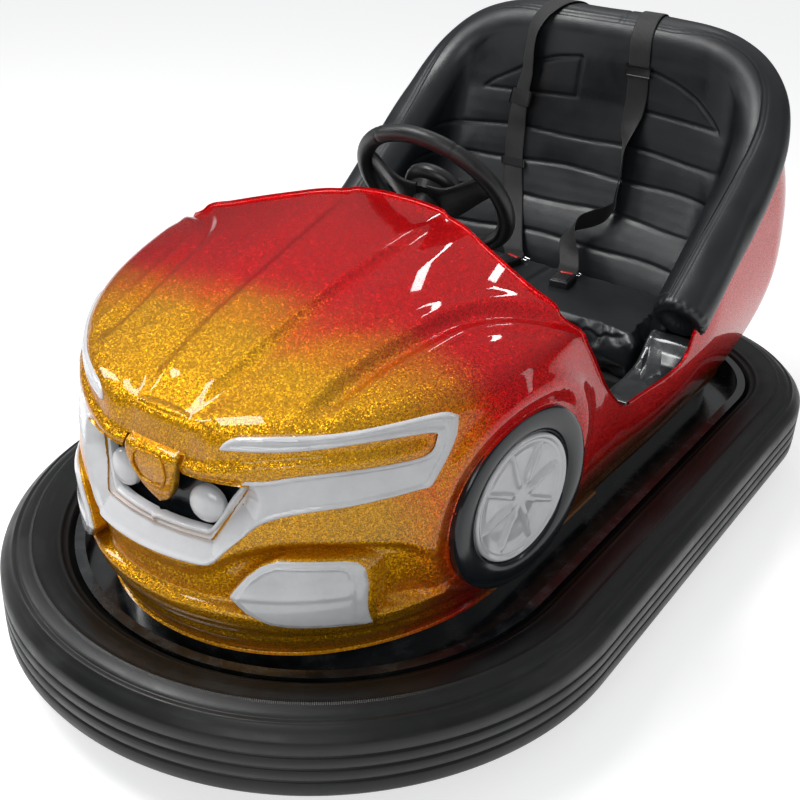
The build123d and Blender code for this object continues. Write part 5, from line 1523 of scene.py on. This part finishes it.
shader.inputs["Roughness"].default_value = 0.55
shader.inputs["Sheen Weight"].default_value = 0.1
chrome = two_tone("bright_buckle_steel", (0.55, 0.55, 0.56), (0.75, 0.75, 0.76), 60.0, (0.16, 0.30),
                  (300.0, 0.05, 0.0003), metallic=1.0)
red_button = two_tone("red_release_button", (0.45, 0.010, 0.010), (0.60, 0.020, 0.018), 40.0,
                      (0.25, 0.35), (500.0, 0.05, 0.0003))


def belt_rows(top_xs, narrower, lean, hanging):
    """Centre and half-width rows: over the roll from behind, then down the seat."""
    rows = []
    for turn, x in zip(ROLL_TURNS, top_xs):
        a, past_top = radians(turn), max(0, turn - 90) / 90
        rows.append((x, ROLL_TOP_Y + OVER_ROLL * cos(a), ROLL_TOP_Z + OVER_ROLL * sin(a),
                     WEB_HALF - narrower * past_top, lean * past_top, 0.0))
    return soft_line(rows + list(hanging), 6)


def web_strip(bm, uv_layer, rows):
    """A flat strap with rounded selvedges along centre and half-width rows."""
    centre, half = rows[:, :3], rows[:, 3:]
    way = np.gradient(centre, axis=0)
    flat = np.cross(way, half)
    flat /= np.linalg.norm(flat, axis=1)[:, None]
    run = np.concatenate([[0], np.cumsum(np.linalg.norm(np.diff(centre, axis=0), axis=1))])
    section = [(-1, 0), (-0.97, 0.8), (-0.9, 1), (-0.45, 1), (0, 1), (0.45, 1), (0.9, 1), (0.97, 0.8), (1, 0),
               (0.97, -0.8), (0.9, -1), (0.45, -1), (0, -1), (-0.45, -1), (-0.9, -1), (-0.97, -0.8)]
    rings = []
    for c, h, f in zip(centre, half, flat):
        rings.append([bm.verts.new(c + h * across + f * WEB_THICK / 2 * thick) for across, thick in section])
    count = len(section)
    for i, (low, high) in enumerate(zip(rings, rings[1:])):
        for k in range(count):
            n = (k + 1) % count
            quad = bm.faces.new((low[k], low[n], high[n], high[k]))
            spots = ((i, k), (i, n), (i + 1, n), (i + 1, k))
            for loop, (r, s) in zip(quad.loops, spots):
                loop[uv_layer].uv = (run[r], section[s][0] * WEB_HALF)
    bm.faces.new(rings[0])
    bm.faces.new(rings[-1])


def rounded_box(bm, centre, axes, size, radius):
    """A box with rounded edges, its axes given as three directions."""
    made = bmesh.ops.create_cube(bm, size=1.0)["verts"]
    frame_axes = Matrix([Vector(a).normalized() for a in axes]).transposed()
    for vert in made:
        vert.co = frame_axes @ Vector([vert.co[i] * size[i] for i in range(3)]) + Vector(centre)
    edges = list({e for v in made for e in v.link_edges})
    bmesh.ops.bevel(bm, geom=edges, offset=radius, segments=3, profile=0.5, affect="EDGES")


def belt_frame(rows, height):
    """Centre, width, length and face directions of a hanging belt at one height."""
    i = len(rows) - 1 - np.argmax((rows[::-1, 2] > height) & (rows[::-1, 1] < SEAT_BEHIND_Y))
    way = rows[min(i + 1, len(rows) - 1), :3] - rows[i - 1, :3]
    width = rows[i, 3:]
    return rows[i, :3], width, way, np.cross(way, width)


seat_front = BVHTree.FromObject(seat_back, bpy.context.evaluated_depsgraph_get())


def laid_on_seat(rows):
    """Brings the hanging rows forward where they would sink into the seat back."""
    laid = rows.copy()
    for i, row in enumerate(rows):
        if row[1] < SEAT_BEHIND_Y and row[2] > CUSHION_TOP:
            for across in (-1, 0, 1):
                spot = row[:3] + across * row[3:]
                hit = seat_front.ray_cast(Vector((spot[0], 0.05, spot[2])), Vector((0, 1, 0)))[0]
                if hit is not None:
                    laid[i, 1] = min(laid[i, 1], hit.y - BELT_CLEAR - across * row[4])
    shift = laid[:, 1] - rows[:, 1]
    shift = np.minimum(shift, np.convolve(np.pad(shift, 3, mode="edge"), np.ones(7) / 7, mode="valid"))
    laid[:, 1] = rows[:, 1] + shift
    return laid


BELTS = (  # side, places over the roll, how much narrower and leaning it comes down, the rest, sliders
    ("right", BELT_RIGHT_TOP_X, 0.006, -0.012, BELT_RIGHT, ((0.760, 0.030, 0.0065), (0.610, 0.013, 0.0080))),
    ("left", BELT_LEFT_TOP_X, 0.0, 0.0, BELT_LEFT, ((0.862, 0.022, 0.0055),)))
for word, top_xs, narrower, lean, hanging, fittings in BELTS:
    rows = laid_on_seat(belt_rows(top_xs, narrower, lean, hanging))
    strap = bmesh.new()
    strap_uv = strap.loops.layers.uv.new("along_across")
    web_strip(strap, strap_uv, rows)
    bmesh.ops.recalc_face_normals(strap, faces=strap.faces)
    strap = to_piece(strap, "shoulder_belt_webbing_" + word)
    sharp_by_angle(strap, 60)
    strap.data.materials.append(webbing)
    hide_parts("shoulder_belt_" + word)
    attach(strap, "root")
    sliders = bmesh.new()
    for height, long, thick in fittings:
        centre, width, way, face = belt_frame(rows, height)
        rounded_box(sliders, centre, (width, way, face), (0.056, long, thick), 0.0024)
    sliders = to_piece(sliders, "belt_sliders_" + word)
    sharp_by_angle(sliders, 35)
    sliders.data.materials.append(black_plastic)
    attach(sliders, "root")


# Buckles: black cases lying on the cushion, each with a red release button and
# the bright steel tongue of its belt pushed in.
BUCKLES = ((0.066, 0.374, 8), (-0.088, 0.388, -14))  # place along X and Y, turn in degrees
CASE_LIFT = 0.438
BUCKLE_PARTS = (  # kind, how far towards the belt, height over the case's middle, size, edge radius
    ("case", 0.0, 0.0, (0.044, 0.064, 0.020), 0.0042), ("case", -0.006, 0.0085, (0.034, 0.040, 0.006), 0.002),
    ("button", 0.024, 0.0085, (0.030, 0.0075, 0.0056), 0.0014),
    ("tongue", 0.038, 0.001, (0.036, 0.018, 0.0022), 0.0008))
TONGUE_LOOP = ((-1, -1), (1, -1), (1.08, 0), (1, 1), (-1, 1), (-1.08, 0))
LOOP_HALF, LOOP_DEEP, LOOP_FROM, LOOP_HIGH, LOOP_WIRE = 0.025, 0.006, 0.049, 0.0015, 0.0018
made = {"case": bmesh.new(), "tongue": bmesh.new(), "button": bmesh.new()}
for x, y, turn in BUCKLES:
    across = np.array((cos(radians(turn)), sin(radians(turn)), 0.0))
    along = np.array((-sin(radians(turn)), cos(radians(turn)), 0.0))
    axes = (across, along, (0, 0, 1))
    place = np.array((x, y, CASE_LIFT))
    for kind, forward, lift, size, radius in BUCKLE_PARTS:
        rounded_box(made[kind], place + along * forward + (0, 0, lift), axes, size, radius)
    wire = [place + across * sx * LOOP_HALF + along * (LOOP_FROM + sy * LOOP_DEEP) + (0, 0, LOOP_HIGH)
            for sx, sy in TONGUE_LOOP]
    closed_tube(made["tongue"], wire, LOOP_WIRE, 10, lean=(0, 0, 1))
for kind, name, material, slot_name in (("case", "belt_buckle_cases", black_plastic, "black_plastic"),
                                        ("tongue", "belt_tongues", chrome, "bare_steel"),
                                        ("button", "belt_release_buttons", red_button, "black_plastic")):
    bmesh.ops.recalc_face_normals(made[kind], faces=made[kind].faces)
    piece = to_piece(made[kind], name)
    sharp_by_angle(piece, 35)
    piece.data.materials.append(material)
    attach(piece, "root")
    if name == "belt_buckle_cases":
        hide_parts("belt_buckles")


# Running gear: cast hubs and motor, bare steel fork and axle, solid rubber
# wheels and the battery case, dusty and greasy as they run close to the floor.
FINISHES = (  # name, two shades, noise scale, roughness, grain, metallic, nodes
    ("painted_castings", (0.060, 0.062, 0.066), (0.150, 0.152, 0.156), 20.0, (0.45, 0.65),
     (240.0, 0.35, 0.0010), 0.2, ("drive_motor", "drive_hub", "rear_hub_left", "rear_hub_right",
                                  "steering_gearbox")),
    ("brushed_bare_steel", (0.30, 0.30, 0.31), (0.48, 0.47, 0.46), 45.0, (0.28, 0.48),
     (320.0, 0.15, 0.0005), 1.0, ("drive_fork", "rear_axle")),
    ("solid_wheel_rubber", (0.016, 0.016, 0.016), (0.050, 0.048, 0.045), 26.0, (0.60, 0.80),
     (260.0, 0.40, 0.0010), 0.0, ("drive_tyre", "rear_tyre_left", "rear_tyre_right")),
    ("black_seat_board", (0.008, 0.008, 0.008), (0.022, 0.021, 0.020), 34.0, (0.55, 0.75),
     (380.0, 0.20, 0.0006), 0.0, ("seat_base",)),
    ("battery_case_plastic", (0.020, 0.020, 0.022), (0.045, 0.045, 0.048), 18.0, (0.40, 0.55),
     (420.0, 0.15, 0.0005), 0.0, ("battery_block",)))
for name, dark, light, scale, gloss, bump, metallic, cad_nodes in FINISHES:
    give_finish(two_tone(name, dark, light, scale, gloss, bump, metallic), *cad_nodes)


size = {"cad": [list(corner) for corner in cad_box], "visual": [list(corner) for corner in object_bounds()]}
